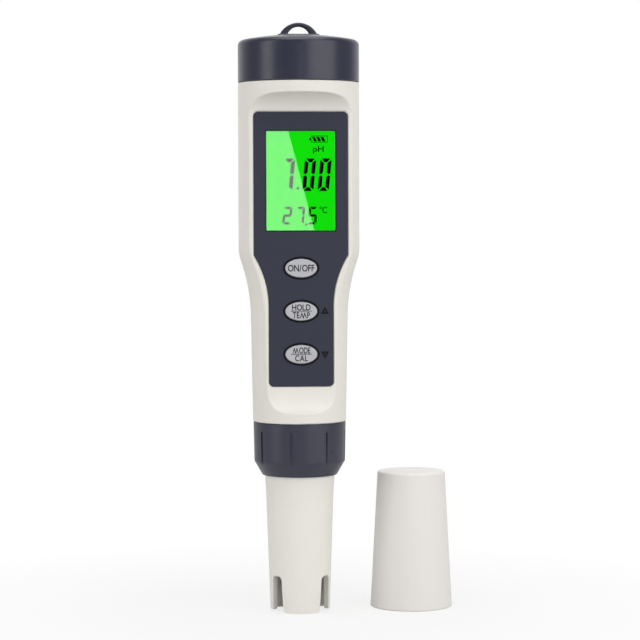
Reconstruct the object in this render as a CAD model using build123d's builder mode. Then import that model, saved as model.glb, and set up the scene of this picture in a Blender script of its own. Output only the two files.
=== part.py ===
from build123d import *
import os
from math import cos, radians, sin, sqrt

# Pocket pH meter with an LCD, three keys, a screwed battery cap at the top, a
# replaceable electrode held by a ring nut at the bottom, and a loose storage cap.
# Millimetres. +Z is up the meter, the display faces -Y and +X is to its right.
# The origin is on the long axis, at the foot of the electrode's guard.

os.makedirs("parts", exist_ok=True)

# ---------------------------------------------------------------------------
# Lengths along the meter, from the foot up
# ---------------------------------------------------------------------------
probe_length = 43.4  # guard that stands out of the ring nut
collar_height = 17.0  # ring nut
grip_length = 41.8  # slim part of the housing
flare_length = 11.4  # where the housing widens to the display
head_length = 53.8  # wide part of the housing
cap_height = 15.1  # battery cap, at its middle
loop_rise = 3.85  # lanyard loop above the cap

collar_base_z = probe_length
housing_base_z = collar_base_z + collar_height
flare_start_z = housing_base_z + grip_length
flare_end_z = flare_start_z + flare_length
housing_top_z = flare_end_z + head_length
cap_apex_z = housing_top_z + cap_height

# ---------------------------------------------------------------------------
# Screw threads, two starts each
# ---------------------------------------------------------------------------
thread_lead = 5.0
thread_starts = 2
thread_depth = 0.8
thread_play = 0.2  # radial, crest to root
ridge_base = 1.2  # axial width of a ridge at its root
ridge_crest = 0.6
ridge_sink = 0.3  # how far a ridge is rooted in its wall

# ---------------------------------------------------------------------------
# Battery cells, and outwards from them the holder, the neck and the cap
# ---------------------------------------------------------------------------
cell_diameter = 11.6
cell_height = 5.4
cells_per_stack = 2
cell_play = 0.15
well_web = 1.3  # plastic between the two wells
holder_wall = 2.05
holder_play = 0.2
neck_wall = 1.55
cap_wall = 1.8

well_radius = cell_diameter / 2 + cell_play
stack_offset = well_radius + well_web / 2
holder_radius = stack_offset + well_radius + holder_wall
neck_bore_radius = holder_radius + holder_play
neck_root_radius = neck_bore_radius + neck_wall
neck_crest_radius = neck_root_radius + thread_depth
cap_bore_radius = neck_crest_radius + thread_play
head_radius = cap_bore_radius + cap_wall

# ---------------------------------------------------------------------------
# Electrode spigot, and outwards from it the lower neck, the ring nut and the grip
# ---------------------------------------------------------------------------
spigot_radius = 9.3
spigot_play = 0.3
lower_neck_wall = 2.4
collar_wall = 1.65
grip_step = 0.11  # housing stands proud of the ring nut
grip_taper = 0.74  # growth in radius up the grip

lower_bore_radius = spigot_radius + spigot_play
lower_root_radius = lower_bore_radius + lower_neck_wall
lower_crest_radius = lower_root_radius + thread_depth
collar_bore_radius = lower_crest_radius + thread_play
collar_radius = collar_bore_radius + collar_wall
grip_radius = collar_radius + grip_step
waist_radius = grip_radius + grip_taper

# ---------------------------------------------------------------------------
# Housing shell
# ---------------------------------------------------------------------------
wall = 2.0
facet_distance = 10.4  # flat front face, from the long axis
waist_blend = 55.0
head_blend = 12.0
rim_round = 0.4
arch_margin = 3.7  # top of the scooped arch below the cap
upper_cove_height = 7.0
base_margin = 3.5  # lowest point of the scoop above the ring nut
lower_cove_height = 7.1
scoop_round = 0.5  # softened edges of the flat front and its coves
cavity_round = 0.6
neck_headroom = 5.5  # cap apex above the neck's rim
seam = 0.08  # line of air between cap and housing

floor_z = housing_base_z + wall
ceiling_z = housing_top_z - wall
neck_top_z = cap_apex_z - neck_headroom
inner_face = facet_distance - wall
arch_z = housing_top_z - arch_margin
scoop_base_z = housing_base_z + base_margin
scoop_base_radius = grip_radius + grip_taper * base_margin / grip_length
scoop_reach = head_radius + wall  # anything past the housing's side

# ---------------------------------------------------------------------------
# Front panel, display window and keys
# ---------------------------------------------------------------------------
panel_recess = 0.5
panel_thickness = 0.45
panel_play = 0.12
panel_bevel = 0.25  # bevelled lip of the recess
panel_top_margin = 9.5
panel_base_margin = 11.6
panel_head_margin = 1.35  # panel's edge inside the facet's edge
panel_grip_margin = 0.37
panel_kink_drop = 0.5
panel_blend_drop = 5.1
panel_corner = 1.5
window_width = 21.6
window_top_margin = 6.0
window_base_margin = 7.3
window_corner = 0.4
lens_play = 0.1
lens_ledge = 0.7
lens_depth = 0.8  # depth of the ledge behind the panel
seal_thickness = 0.2
key_width = 10.0
key_height = 5.83
key_gap = 0.15  # round a key, in the housing and the panel
key_proud = 0.5
key_travel = 0.5
key_cap_depth = 1.9
key_dome = 0.35
top_key_margin = 6.9  # top key above the start of the flare
low_key_margin = 10.1  # lowest key above the panel's foot

panel_seat = facet_distance - panel_recess
panel_top_z = housing_top_z - panel_top_margin
panel_bottom_z = housing_base_z + panel_base_margin
panel_half_high = sqrt(head_radius**2 - facet_distance**2) - panel_head_margin
panel_half_low = sqrt(grip_radius**2 - facet_distance**2) - panel_grip_margin
panel_kink_z = flare_end_z - panel_kink_drop
panel_blend_z = flare_start_z - panel_blend_drop
window_top_z = panel_top_z - window_top_margin
window_bottom_z = flare_end_z + window_base_margin
window_height = window_top_z - window_bottom_z
window_z = (window_top_z + window_bottom_z) / 2
lens_seat = panel_seat - lens_depth
key_names = ["power", "hold", "mode"]
top_key_z = flare_start_z + top_key_margin
low_key_z = panel_bottom_z + low_key_margin
key_pitch = (top_key_z - low_key_z) / (len(key_names) - 1)
key_zs = [top_key_z - key_pitch * row for row in range(len(key_names))]

# ---------------------------------------------------------------------------
# Circuit board, display stack and the carrier behind them
# ---------------------------------------------------------------------------
stack_depth = 6.0  # housing's inner face to the board
pcb_thickness = 1.6
pcb_half_low = 11.3
pcb_half_high = 12.2
board_gap = 2.0  # top of the board below the battery holder
standoff_height = 2.0
standoff_radius = 2.2
screw_offset = 9.0
screw_radius = 1.0
screw_play = 0.05
screw_head_radius = 1.8
screw_head_height = 1.2
carrier_thickness = 1.8
carrier_play = 0.4
rib_depth = 3.5
rib_width = 1.4
rib_offset = 7.0
fit = 0.05  # two moving or stacked faces that only just clear

pcb_front = inner_face - stack_depth
pcb_rear = pcb_front - pcb_thickness
carrier_front = pcb_rear - standoff_height
carrier_rear = carrier_front - carrier_thickness
carrier_half = sqrt((grip_radius - wall) ** 2 - carrier_rear**2) - carrier_play

glass_margin = 0.9  # display glass beyond the window
glass_thickness = 1.1
contact_ledge = 2.6  # front glass below the rear glass
frame_lip = 0.3
frame_play = 0.1
frame_wall = 0.5
frame_front = inner_face - fit
glass_front = frame_front - frame_lip
rear_glass_front = glass_front - glass_thickness
backlight_front = rear_glass_front - glass_thickness
glass_width = window_width + 2 * glass_margin
glass_top_z = window_top_z + glass_margin
glass_ledge_z = window_bottom_z - glass_margin
glass_bottom_z = glass_ledge_z - contact_ledge

# ---------------------------------------------------------------------------
# Battery holder and its contacts
# ---------------------------------------------------------------------------
holder_seat_drop = 2.0
holder_flange_step = 0.6
holder_flange_thickness = 1.2
holder_floor = 1.6
cell_recess = 1.3
spring_height = 2.2
spring_radius = 3.2
spring_wire = 0.5
spring_turns = 2
plate_thickness = 0.3
plate_radius = 4.5
blade_width = 2.6
blade_shift = 2.2  # blade inwards of its cell

holder_seat_z = neck_top_z - holder_seat_drop
holder_flange_radius = holder_radius + holder_flange_step
holder_top_z = holder_seat_z + holder_flange_thickness
cell_top_z = holder_top_z - cell_recess
cell_base_z = cell_top_z - cells_per_stack * cell_height
well_floor_z = cell_base_z - spring_height - plate_thickness
holder_base_z = well_floor_z - holder_floor
pcb_top_z = holder_base_z - board_gap

# ---------------------------------------------------------------------------
# Sensor socket and the electrode's plug
# ---------------------------------------------------------------------------
flange_thickness = 2.35
collar_floor = 3.2
spigot_length = 9.0
spigot_gap = 1.0  # plug to socket
pin_count = 6
pin_circle = 5.5
pin_radius = 0.5
pin_rise = 3.5
sleeve_radius = 1.0
sleeve_bore = 0.62
gasket_thickness = 0.5
gasket_margin = 0.2
socket_flange_radius = 11.5
socket_flange_thickness = 1.1
socket_board_thickness = 1.2
socket_play = 0.2

ledge_z = collar_base_z + collar_floor
flange_base_z = ledge_z + fit
flange_top_z = flange_base_z + flange_thickness
lower_neck_z = flange_top_z + spigot_play
spigot_top_z = flange_top_z + spigot_length
socket_face_z = spigot_top_z + spigot_gap
socket_flange_z = floor_z + gasket_thickness
socket_board_z = socket_flange_z + socket_flange_thickness
board_base_z = socket_board_z + socket_board_thickness
pin_spots = [
    (pin_circle * cos(radians(60 * n + 30)), pin_circle * sin(radians(60 * n + 30)))
    for n in range(pin_count)
]

# ---------------------------------------------------------------------------
# Electrode
# ---------------------------------------------------------------------------
guard_wall = 1.5
guard_root_step = 1.8  # guard's root beyond the spigot
guard_flare = 0.35
guard_flare_length = 5.4
guard_taper = 1.35
slot_centre = 52.5  # degrees either side of the front; a third slot faces the back
slot_top_width = 4.0
slot_foot_width = 5.0
slot_height = 11.7
slot_round = 1.5
tongue_corner = 1.6
side_rim_lift = 0.7  # side walls stop short of the foot
side_rim_reach = 0.7  # how far behind the axis they are short, as a share of the bore's radius
bulb_radius = 3.8
bulb_z = 10.0
stem_radius = 3.0
glass_wall = 0.5
potting_z = 28.0
potting_length = 12.0
sensor_circle = 5.6
sensor_top_z = 44.0
sensor_tip_z = 8.0

guard_root_radius = spigot_radius + guard_root_step
guard_neck_radius = guard_root_radius - guard_flare
guard_tip_radius = guard_neck_radius - guard_taper
guard_bore = guard_tip_radius - guard_wall

# ---------------------------------------------------------------------------
# Storage cap
# ---------------------------------------------------------------------------
storage_wall_tip = 1.25
storage_wall_rim = 1.95
storage_tip_play = 0.13
storage_rim_play = 0.05
storage_end = 1.2
storage_extra = 0.2
storage_gap = 3.9  # between the cap and the meter's widest part
storage_back = 5.0


def front_plane(distance):
    """Plane that faces the front, that far in front of the long axis: x right, y up."""
    return Plane.XZ.offset(distance)


def body_outline(inset, low_z, high_z, low_round, high_round):
    """Half section of the tubular body, inset from its outer face."""
    with BuildSketch() as section:
        with BuildLine():
            skin = FilletPolyline(
                (0, low_z),
                (grip_radius - inset, low_z),
                (waist_radius - inset, flare_start_z),
                (head_radius - inset, flare_end_z),
                (head_radius - inset, high_z),
                (0, high_z),
                radius=[low_round, waist_blend + inset, head_blend - inset, high_round],
            )
            Line(skin @ 1, skin @ 0)
        make_face()
    return section.sketch_local


def lower_cove_distance(z, grow):
    """Distance in front of the axis of the lower cove, grown by that much, at that height."""
    start_z = scoop_base_z + lower_cove_height
    climb = (start_z - z) / (lower_cove_height + grow)
    reach = scoop_base_radius - facet_distance + grow
    return scoop_base_radius - reach * sqrt(1 - climb**2)


def scoop_outline(grow):
    """Side outline (Y, Z) of the scoop that leaves the flat front, grown by that much."""
    face = -(facet_distance - grow)
    upper_start_z = arch_z - upper_cove_height
    lower_start_z = scoop_base_z + lower_cove_height
    with BuildSketch() as section:
        with BuildLine():
            EllipticalCenterArc(
                (-head_radius, upper_start_z),
                head_radius - facet_distance + grow,
                upper_cove_height + grow,
                start_angle=0,
                arc_size=90,
            )
            EllipticalCenterArc(
                (-scoop_base_radius, lower_start_z),
                scoop_base_radius - facet_distance + grow,
                lower_cove_height + grow,
                start_angle=270,
                arc_size=90,
            )
            Line((face, upper_start_z), (face, lower_start_z))
            Polyline(
                (-head_radius, arch_z + grow),
                (-scoop_reach, arch_z + grow),
                (-scoop_reach, scoop_base_z - grow),
                (-scoop_base_radius, scoop_base_z - grow),
            )
        make_face()
    return section.sketch_local


def thread_ridges(root_radius, low_z, high_z, phase, inward):
    """Helical ridges on a wall of that radius, one for each start, between two heights."""
    side = -1 if inward else 1
    rise = high_z - low_z - ridge_base
    with BuildPart() as ridge:
        with BuildLine(mode=Mode.PRIVATE) as path:
            Helix(
                pitch=thread_lead,
                height=rise,
                radius=root_radius,
                center=(0, 0, low_z + ridge_base / 2),
            )
        start = path.line.edges()[0]
        with BuildSketch(Plane(start @ 0, x_dir=(1, 0, 0), z_dir=start % 0)):
            with BuildLine():
                Polyline(
                    (-side * ridge_sink, -ridge_base / 2),
                    (side * thread_depth, -ridge_crest / 2),
                    (side * thread_depth, ridge_crest / 2),
                    (-side * ridge_sink, ridge_base / 2),
                    close=True,
                )
            make_face()
        sweep(path=path.line, is_frenet=True)
    turns = [phase + 360 / thread_starts * n for n in range(thread_starts)]
    return [ridge.part.rotate(Axis.Z, turn) for turn in turns]


# ---------------------------------------------------------------------------
# Housing
# ---------------------------------------------------------------------------
with BuildSketch() as panel_outline:
    with BuildLine():
        tops = []
        feet = []
        for side in (1, -1):
            low = Line((side * panel_half_low, panel_bottom_z), (side * panel_half_low, panel_blend_z))
            blend = TangentArc(low @ 1, (side * panel_half_high, panel_kink_z), tangent=(0, 1))
            high = Line(blend @ 1, (side * panel_half_high, panel_top_z))
            tops.append(high @ 1)
            feet.append(low @ 0)
        Line(*tops)
        Line(*feet)
    make_face()
    corner_rows = panel_outline.vertices().group_by(Axis.Y)
    fillet(corner_rows[0] + corner_rows[-1], panel_corner)

with BuildPart() as scoop:
    with BuildSketch(Plane.YZ):
        add(scoop_outline(0))
    extrude(amount=scoop_reach, both=True)

with BuildPart() as cavity:
    with BuildSketch(Plane.XZ):
        add(body_outline(wall, floor_z, ceiling_z, cavity_round, cavity_round))
    revolve(axis=Axis.Z)
    with BuildSketch(Plane.YZ):
        add(scoop_outline(wall))
    extrude(amount=scoop_reach, both=True, mode=Mode.SUBTRACT)

cap_seal_rise = 0.6  # O-ring groove above the shoulder
cap_seal_wire = 0.6
cap_seal_sink = 0.25
groove_play = 0.1
thread_runout = 1.0  # plain neck beside a groove or a shoulder
thread_lead_in = 0.4  # plain neck at the cap's end
lower_lead_in = 0.6  # plain neck at the electrode's end

cap_seal_z = housing_top_z + cap_seal_rise
cap_groove_radius = neck_root_radius - cap_seal_sink
upper_thread_low_z = cap_seal_z + 2 * (cap_seal_wire + groove_play) + thread_runout
upper_thread_high_z = neck_top_z - thread_lead_in
lower_thread_low_z = lower_neck_z + lower_lead_in
lower_thread_high_z = housing_base_z - thread_runout

upper_neck_ridges = thread_ridges(
    neck_root_radius, upper_thread_low_z, upper_thread_high_z, 0, inward=False
)
lower_neck_ridges = thread_ridges(
    lower_root_radius, lower_thread_low_z, lower_thread_high_z, 0, inward=False
)

with BuildPart() as housing:
    with BuildSketch(Plane.XZ):
        add(body_outline(0, housing_base_z, housing_top_z, rim_round, rim_round))
    revolve(axis=Axis.Z)
    add(scoop.part, mode=Mode.SUBTRACT)
    fillet(housing.edges(Select.LAST).filter_by(Axis.X, reverse=True), scoop_round)
    with BuildSketch(Plane.XY.offset(ceiling_z)):
        Circle(neck_root_radius)
    extrude(amount=neck_top_z - ceiling_z)
    with BuildSketch(Plane.XY.offset(lower_neck_z)):
        Circle(lower_root_radius)
    extrude(amount=housing_base_z - lower_neck_z)
    add(cavity.part, mode=Mode.SUBTRACT)
    # bore of the upper neck, with the seat for the battery holder
    with BuildSketch(Plane.XY.offset(ceiling_z)):
        Circle(neck_bore_radius)
    extrude(amount=neck_top_z - ceiling_z, mode=Mode.SUBTRACT)
    with BuildSketch(Plane.XY.offset(holder_seat_z)):
        Circle(holder_flange_radius + groove_play)
    extrude(amount=holder_seat_drop, mode=Mode.SUBTRACT)
    # bore of the lower neck
    with BuildSketch(Plane.XY.offset(lower_neck_z)):
        Circle(lower_bore_radius)
    extrude(amount=floor_z - lower_neck_z, mode=Mode.SUBTRACT)
    # groove for the cap's O-ring
    with BuildSketch(Plane.XY.offset(cap_seal_z)):
        Circle(neck_crest_radius)
        Circle(cap_groove_radius, mode=Mode.SUBTRACT)
    extrude(amount=2 * (cap_seal_wire + groove_play), mode=Mode.SUBTRACT)
    add(upper_neck_ridges)
    add(lower_neck_ridges)
    # recess for the front panel, with its bevelled lip
    with BuildSketch(front_plane(panel_seat)):
        add(panel_outline.sketch_local)
        offset(amount=panel_play)
    extrude(amount=2 * panel_recess, mode=Mode.SUBTRACT)
    with BuildSketch(front_plane(facet_distance - panel_bevel)):
        add(panel_outline.sketch_local)
        offset(amount=panel_play)
    extrude(amount=2 * panel_bevel, taper=-45, mode=Mode.SUBTRACT)
    # window opening, stepped for the lens
    with BuildSketch(front_plane(lens_seat)):
        with Locations((0, window_z)):
            RectangleRounded(
                window_width + 2 * (lens_ledge + lens_play),
                window_height + 2 * (lens_ledge + lens_play),
                window_corner,
            )
    extrude(amount=2 * lens_depth, mode=Mode.SUBTRACT)
    with BuildSketch(front_plane(inner_face - wall)):
        with Locations((0, window_z)):
            RectangleRounded(window_width, window_height, window_corner)
    extrude(amount=2 * wall, mode=Mode.SUBTRACT)
    # key holes
    with BuildSketch(front_plane(inner_face - wall)):
        with Locations(*[(0, z) for z in key_zs]):
            Ellipse(key_width / 2 + key_gap, key_height / 2 + key_gap)
    extrude(amount=3 * wall, mode=Mode.SUBTRACT)
housing.part.label = "housing"
export_step(housing.part, "parts/housing.step")

# ---------------------------------------------------------------------------
# Front panel, lens and seal
# ---------------------------------------------------------------------------
with BuildPart() as front_panel:
    with BuildSketch(front_plane(panel_seat)):
        add(panel_outline.sketch_local)
        with Locations((0, window_z)):
            RectangleRounded(window_width, window_height, window_corner, mode=Mode.SUBTRACT)
        with Locations(*[(0, z) for z in key_zs]):
            Ellipse(key_width / 2 + key_gap, key_height / 2 + key_gap, mode=Mode.SUBTRACT)
    extrude(amount=panel_thickness)
front_panel.part.label = "front_panel"
export_step(front_panel.part, "parts/front_panel.step")

with BuildPart() as display_window:
    with BuildSketch(front_plane(lens_seat + seal_thickness)):
        with Locations((0, window_z)):
            RectangleRounded(
                window_width + 2 * lens_ledge, window_height + 2 * lens_ledge, window_corner
            )
    extrude(amount=lens_depth - seal_thickness)
    with BuildSketch(front_plane(panel_seat)):
        with Locations((0, window_z)):
            RectangleRounded(
                window_width - 2 * lens_play, window_height - 2 * lens_play, window_corner
            )
    extrude(amount=panel_thickness - fit)
display_window.part.label = "display_window"
export_step(display_window.part, "parts/display_window.step")

with BuildPart() as window_seal:
    with BuildSketch(front_plane(lens_seat)):
        with Locations((0, window_z)):
            RectangleRounded(
                window_width + 2 * lens_ledge, window_height + 2 * lens_ledge, window_corner
            )
            Rectangle(window_width + lens_play, window_height + lens_play, mode=Mode.SUBTRACT)
    extrude(amount=seal_thickness)
window_seal.part.label = "window_seal"
export_step(window_seal.part, "parts/window_seal.step")

# ---------------------------------------------------------------------------
# Keys: a silvered cap on a rubber foot, over the plunger of a tact switch
# ---------------------------------------------------------------------------
foot_flange_step = 0.8
foot_flange_thickness = 0.75
foot_post_radius = 2.0
sheet_play = 0.3
sheet_thickness = 0.6
sheet_margin = 1.2
switch_size = 6.0
switch_height = 3.4
plunger_radius = 1.75
plunger_play = 0.1
plunger_height = 4.3  # above the board
plunger_depth = 2.3
plunger_reserve = 0.3  # left under the plunger of a key that is pressed home

key_back = facet_distance + key_proud - key_cap_depth
flange_front = inner_face - fit
flange_back = flange_front - foot_flange_thickness
plunger_top = pcb_front + plunger_height
well_clearance = key_travel + plunger_reserve

for name, key_z in zip(key_names, key_zs):
    with BuildPart() as key:
        with BuildSketch(front_plane(key_back)):
            with Locations((0, key_z)):
                Ellipse(key_width / 2, key_height / 2)
        extrude(amount=key_cap_depth)
        fillet(key.faces().sort_by(Axis.Y)[0].edges(), key_dome)
    key.part.label = f"{name}_key"
    export_step(key.part, f"parts/{name}_key.step")

    with BuildPart() as key_foot:
        with BuildSketch(front_plane(flange_back)):
            with Locations((0, key_z)):
                Ellipse(key_width / 2 + foot_flange_step, key_height / 2 + foot_flange_step)
        extrude(amount=foot_flange_thickness)
        with BuildSketch(front_plane(flange_front)):
            with Locations((0, key_z)):
                Ellipse(key_width / 2, key_height / 2)
        extrude(amount=key_back - flange_front)
        with BuildSketch(front_plane(plunger_top)):
            with Locations((0, key_z)):
                Circle(foot_post_radius)
        extrude(amount=flange_back - plunger_top)
    key_foot.part.label = f"{name}_key_foot"
    export_step(key_foot.part, f"parts/{name}_key_foot.step")

    with BuildPart() as plunger:
        with BuildSketch(front_plane(plunger_top - plunger_depth)):
            with Locations((0, key_z)):
                Circle(plunger_radius)
        extrude(amount=plunger_depth)
    plunger.part.label = f"{name}_plunger"
    export_step(plunger.part, f"parts/{name}_plunger.step")

with BuildPart() as keypad_sheet:
    with BuildSketch(front_plane(inner_face - sheet_thickness)):
        with Locations((0, (top_key_z + low_key_z) / 2)):
            RectangleRounded(
                key_width + 2 * (foot_flange_step + sheet_play + sheet_margin),
                top_key_z - low_key_z + key_height + 2 * (foot_flange_step + sheet_play + sheet_margin),
                sheet_margin,
            )
        with Locations(*[(0, z) for z in key_zs]):
            Ellipse(
                key_width / 2 + foot_flange_step + sheet_play,
                key_height / 2 + foot_flange_step + sheet_play,
                mode=Mode.SUBTRACT,
            )
    extrude(amount=sheet_thickness)
keypad_sheet.part.label = "keypad_sheet"
export_step(keypad_sheet.part, "parts/keypad_sheet.step")

with BuildPart() as tact_switches:
    with BuildSketch(front_plane(pcb_front)):
        with Locations(*[(0, z) for z in key_zs]):
            Rectangle(switch_size, switch_size)
    extrude(amount=switch_height)
    with BuildSketch(front_plane(plunger_top - plunger_depth - well_clearance)):
        with Locations(*[(0, z) for z in key_zs]):
            Circle(plunger_radius + plunger_play)
    extrude(amount=switch_height, mode=Mode.SUBTRACT)
tact_switches.part.label = "tact_switches"
export_step(tact_switches.part, "parts/tact_switches.step")

# ---------------------------------------------------------------------------
# Display stack
# ---------------------------------------------------------------------------
frame_outer_width = glass_width + 2 * (frame_play + frame_wall)
frame_top_z = glass_top_z + frame_play + frame_wall
frame_bottom_z = glass_bottom_z - frame_play - frame_wall
frame_z = (frame_top_z + frame_bottom_z) / 2
lip_opening = 0.4  # bezel opening beyond the window


def glass_plate(back, front, low_z, high_z):
    """Plate as wide as the display glass, between two depths and two heights."""
    with BuildPart() as plate:
        with BuildSketch(front_plane(back)):
            with Locations((0, (low_z + high_z) / 2)):
                Rectangle(glass_width, high_z - low_z)
        extrude(amount=front - back)
    return plate.part


with BuildPart() as lcd_front_glass:
    add(glass_plate(rear_glass_front, glass_front, glass_bottom_z, glass_top_z))
lcd_front_glass.part.label = "lcd_front_glass"
export_step(lcd_front_glass.part, "parts/lcd_front_glass.step")

with BuildPart() as lcd_rear_glass:
    add(glass_plate(backlight_front, rear_glass_front, glass_ledge_z, glass_top_z))
lcd_rear_glass.part.label = "lcd_rear_glass"
export_step(lcd_rear_glass.part, "parts/lcd_rear_glass.step")

led_height = 2.0
led_width = 3.0
led_depth = 1.4
backlight_top_z = glass_top_z - led_height - frame_play

with BuildPart() as backlight_panel:
    add(glass_plate(pcb_front, backlight_front, glass_ledge_z, backlight_top_z))
backlight_panel.part.label = "backlight_panel"
export_step(backlight_panel.part, "parts/backlight_panel.step")

with BuildPart() as backlight_leds:
    with BuildSketch(front_plane(pcb_front)):
        with Locations((0, backlight_top_z + frame_play / 2 + led_height / 2)):
            with GridLocations(glass_width / 3, led_height, 3, 1):
                Rectangle(led_width, led_height - frame_play)
    extrude(amount=led_depth)
backlight_leds.part.label = "backlight_leds"
export_step(backlight_leds.part, "parts/backlight_leds.step")

with BuildPart() as zebra_strip:
    with BuildSketch(front_plane(pcb_front)):
        with Locations((0, (glass_bottom_z + glass_ledge_z) / 2)):
            Rectangle(glass_width - 2 * frame_play, contact_ledge - 2 * frame_play)
    extrude(amount=rear_glass_front - pcb_front)
zebra_strip.part.label = "zebra_strip"
export_step(zebra_strip.part, "parts/zebra_strip.step")

with BuildPart() as lcd_frame:
    with BuildSketch(front_plane(pcb_front)):
        with Locations((0, frame_z)):
            Rectangle(frame_outer_width, frame_top_z - frame_bottom_z)
    extrude(amount=frame_front - pcb_front)
    with BuildSketch(front_plane(pcb_front)):
        with Locations((0, frame_z)):
            Rectangle(
                frame_outer_width - 2 * frame_wall, frame_top_z - frame_bottom_z - 2 * frame_wall
            )
    extrude(amount=glass_front - pcb_front, mode=Mode.SUBTRACT)
    with BuildSketch(front_plane(pcb_front)):
        with Locations((0, window_z)):
            Rectangle(window_width + 2 * lip_opening, window_height + 2 * lip_opening)
    extrude(amount=frame_front - pcb_front, mode=Mode.SUBTRACT)
lcd_frame.part.label = "lcd_frame"
export_step(lcd_frame.part, "parts/lcd_frame.step")

# ---------------------------------------------------------------------------
# Circuit board, its parts and its screws
# ---------------------------------------------------------------------------
board_step_drop = 1.0  # where the board widens, below the display's frame
screw_inset = 1.85
foot_screw_rise = 4.3
mid_screw_drop = 2.2
board_step_z = frame_bottom_z - board_step_drop
screw_zs = [board_base_z + foot_screw_rise, board_step_z - mid_screw_drop, pcb_top_z - screw_inset]
screw_spots = [(side * screw_offset, z) for z in screw_zs for side in (1, -1)]

with BuildPart() as main_pcb:
    with BuildSketch(front_plane(pcb_rear)):
        with Locations((0, (board_base_z + pcb_top_z) / 2)):
            Rectangle(2 * pcb_half_low, pcb_top_z - board_base_z)
        with Locations((0, (board_step_z + pcb_top_z) / 2)):
            Rectangle(2 * pcb_half_high, pcb_top_z - board_step_z)
        with Locations(*screw_spots):
            Circle(screw_radius + screw_play, mode=Mode.SUBTRACT)
    extrude(amount=pcb_thickness)
main_pcb.part.label = "main_pcb"
export_step(main_pcb.part, "parts/main_pcb.step")

with BuildPart() as pcb_screws:
    with BuildSketch(front_plane(pcb_front)):
        with Locations(*screw_spots):
            Circle(screw_head_radius)
    extrude(amount=screw_head_height)
    with BuildSketch(front_plane(carrier_front)):
        with Locations(*screw_spots):
            Circle(screw_radius)
    extrude(amount=pcb_front - carrier_front)
    with BuildSketch(front_plane(pcb_front + screw_head_height)):
        with Locations(*screw_spots):
            Rectangle(2 * screw_radius, screw_head_height / 3)
            Rectangle(screw_head_height / 3, 2 * screw_radius)
    extrude(amount=-screw_head_height / 2, mode=Mode.SUBTRACT)
pcb_screws.part.label = "pcb_screws"
export_step(pcb_screws.part, "parts/pcb_screws.step")


def leaded_chip(spot, body, height, leads, pitch, four_sided):
    """Chip on the board's rear face, with gull-wing leads along two or four of its sides."""
    lead_width = 0.3
    lead_length = 1.0
    lead_height = 0.5
    with BuildPart() as chip:
        with BuildSketch(front_plane(pcb_rear)):
            with Locations(spot):
                Rectangle(*body)
        extrude(amount=-height)
        with BuildSketch(front_plane(pcb_rear)):
            with Locations(spot):
                with GridLocations(body[0] + lead_length, pitch, 2, leads):
                    Rectangle(lead_length + lead_width, lead_width)
                if four_sided:
                    with GridLocations(pitch, body[1] + lead_length, leads, 2):
                        Rectangle(lead_width, lead_length + lead_width)
        extrude(amount=-lead_height)
    return chip.part


controller_size = 10.0
controller_height = 1.4
controller_leads = 11
controller_pitch = 0.8
amplifier_body = (3.9, 4.9)
amplifier_height = 1.5
amplifier_leads = 4
amplifier_pitch = 1.27
amplifier_offset = 4.5
crystal_body = (5.0, 3.2)
crystal_corner = 0.4
crystal_height = 1.3
smd_body = (1.6, 0.8)
smd_height = 0.7
smd_per_row = 5
smd_gap = 2.1  # a row of parts past the chip beside it

amplifier_z = (low_key_z + top_key_z) / 2

with BuildPart() as microcontroller:
    add(
        leaded_chip(
            (0, window_z),
            (controller_size, controller_size),
            controller_height,
            controller_leads,
            controller_pitch,
            four_sided=True,
        )
    )
microcontroller.part.label = "microcontroller"
export_step(microcontroller.part, "parts/microcontroller.step")

with BuildPart() as amplifier_chips:
    for side in (1, -1):
        add(
            leaded_chip(
                (side * amplifier_offset, amplifier_z),
                amplifier_body,
                amplifier_height,
                amplifier_leads,
                amplifier_pitch,
                four_sided=False,
            )
        )
amplifier_chips.part.label = "amplifier_chips"
export_step(amplifier_chips.part, "parts/amplifier_chips.step")

with BuildPart() as crystal:
    with BuildSketch(front_plane(pcb_front)):
        with Locations((0, (key_zs[1] + key_zs[2]) / 2)):
            RectangleRounded(*crystal_body, crystal_corner)
    extrude(amount=crystal_height)
crystal.part.label = "crystal"
export_step(crystal.part, "parts/crystal.step")

with BuildPart() as smd_parts:
    for middle_z, chip_length in ((window_z, controller_size), (amplifier_z, amplifier_body[1])):
        with BuildSketch(front_plane(pcb_rear)):
            with Locations((0, middle_z)):
                with GridLocations(2 * smd_body[0], chip_length + 4 * smd_gap, smd_per_row, 2):
                    Rectangle(*smd_body)
        extrude(amount=-smd_height)
smd_parts.part.label = "smd_parts"
export_step(smd_parts.part, "parts/smd_parts.step")

# ---------------------------------------------------------------------------
# Carrier
# ---------------------------------------------------------------------------
carrier_middle_z = (board_base_z + holder_base_z) / 2
carrier_length = holder_base_z - board_base_z
top_plate_thickness = 1.6
opening_margin = 9.0  # solid carrier round a pair of screws
opening_corner = 1.5

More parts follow.
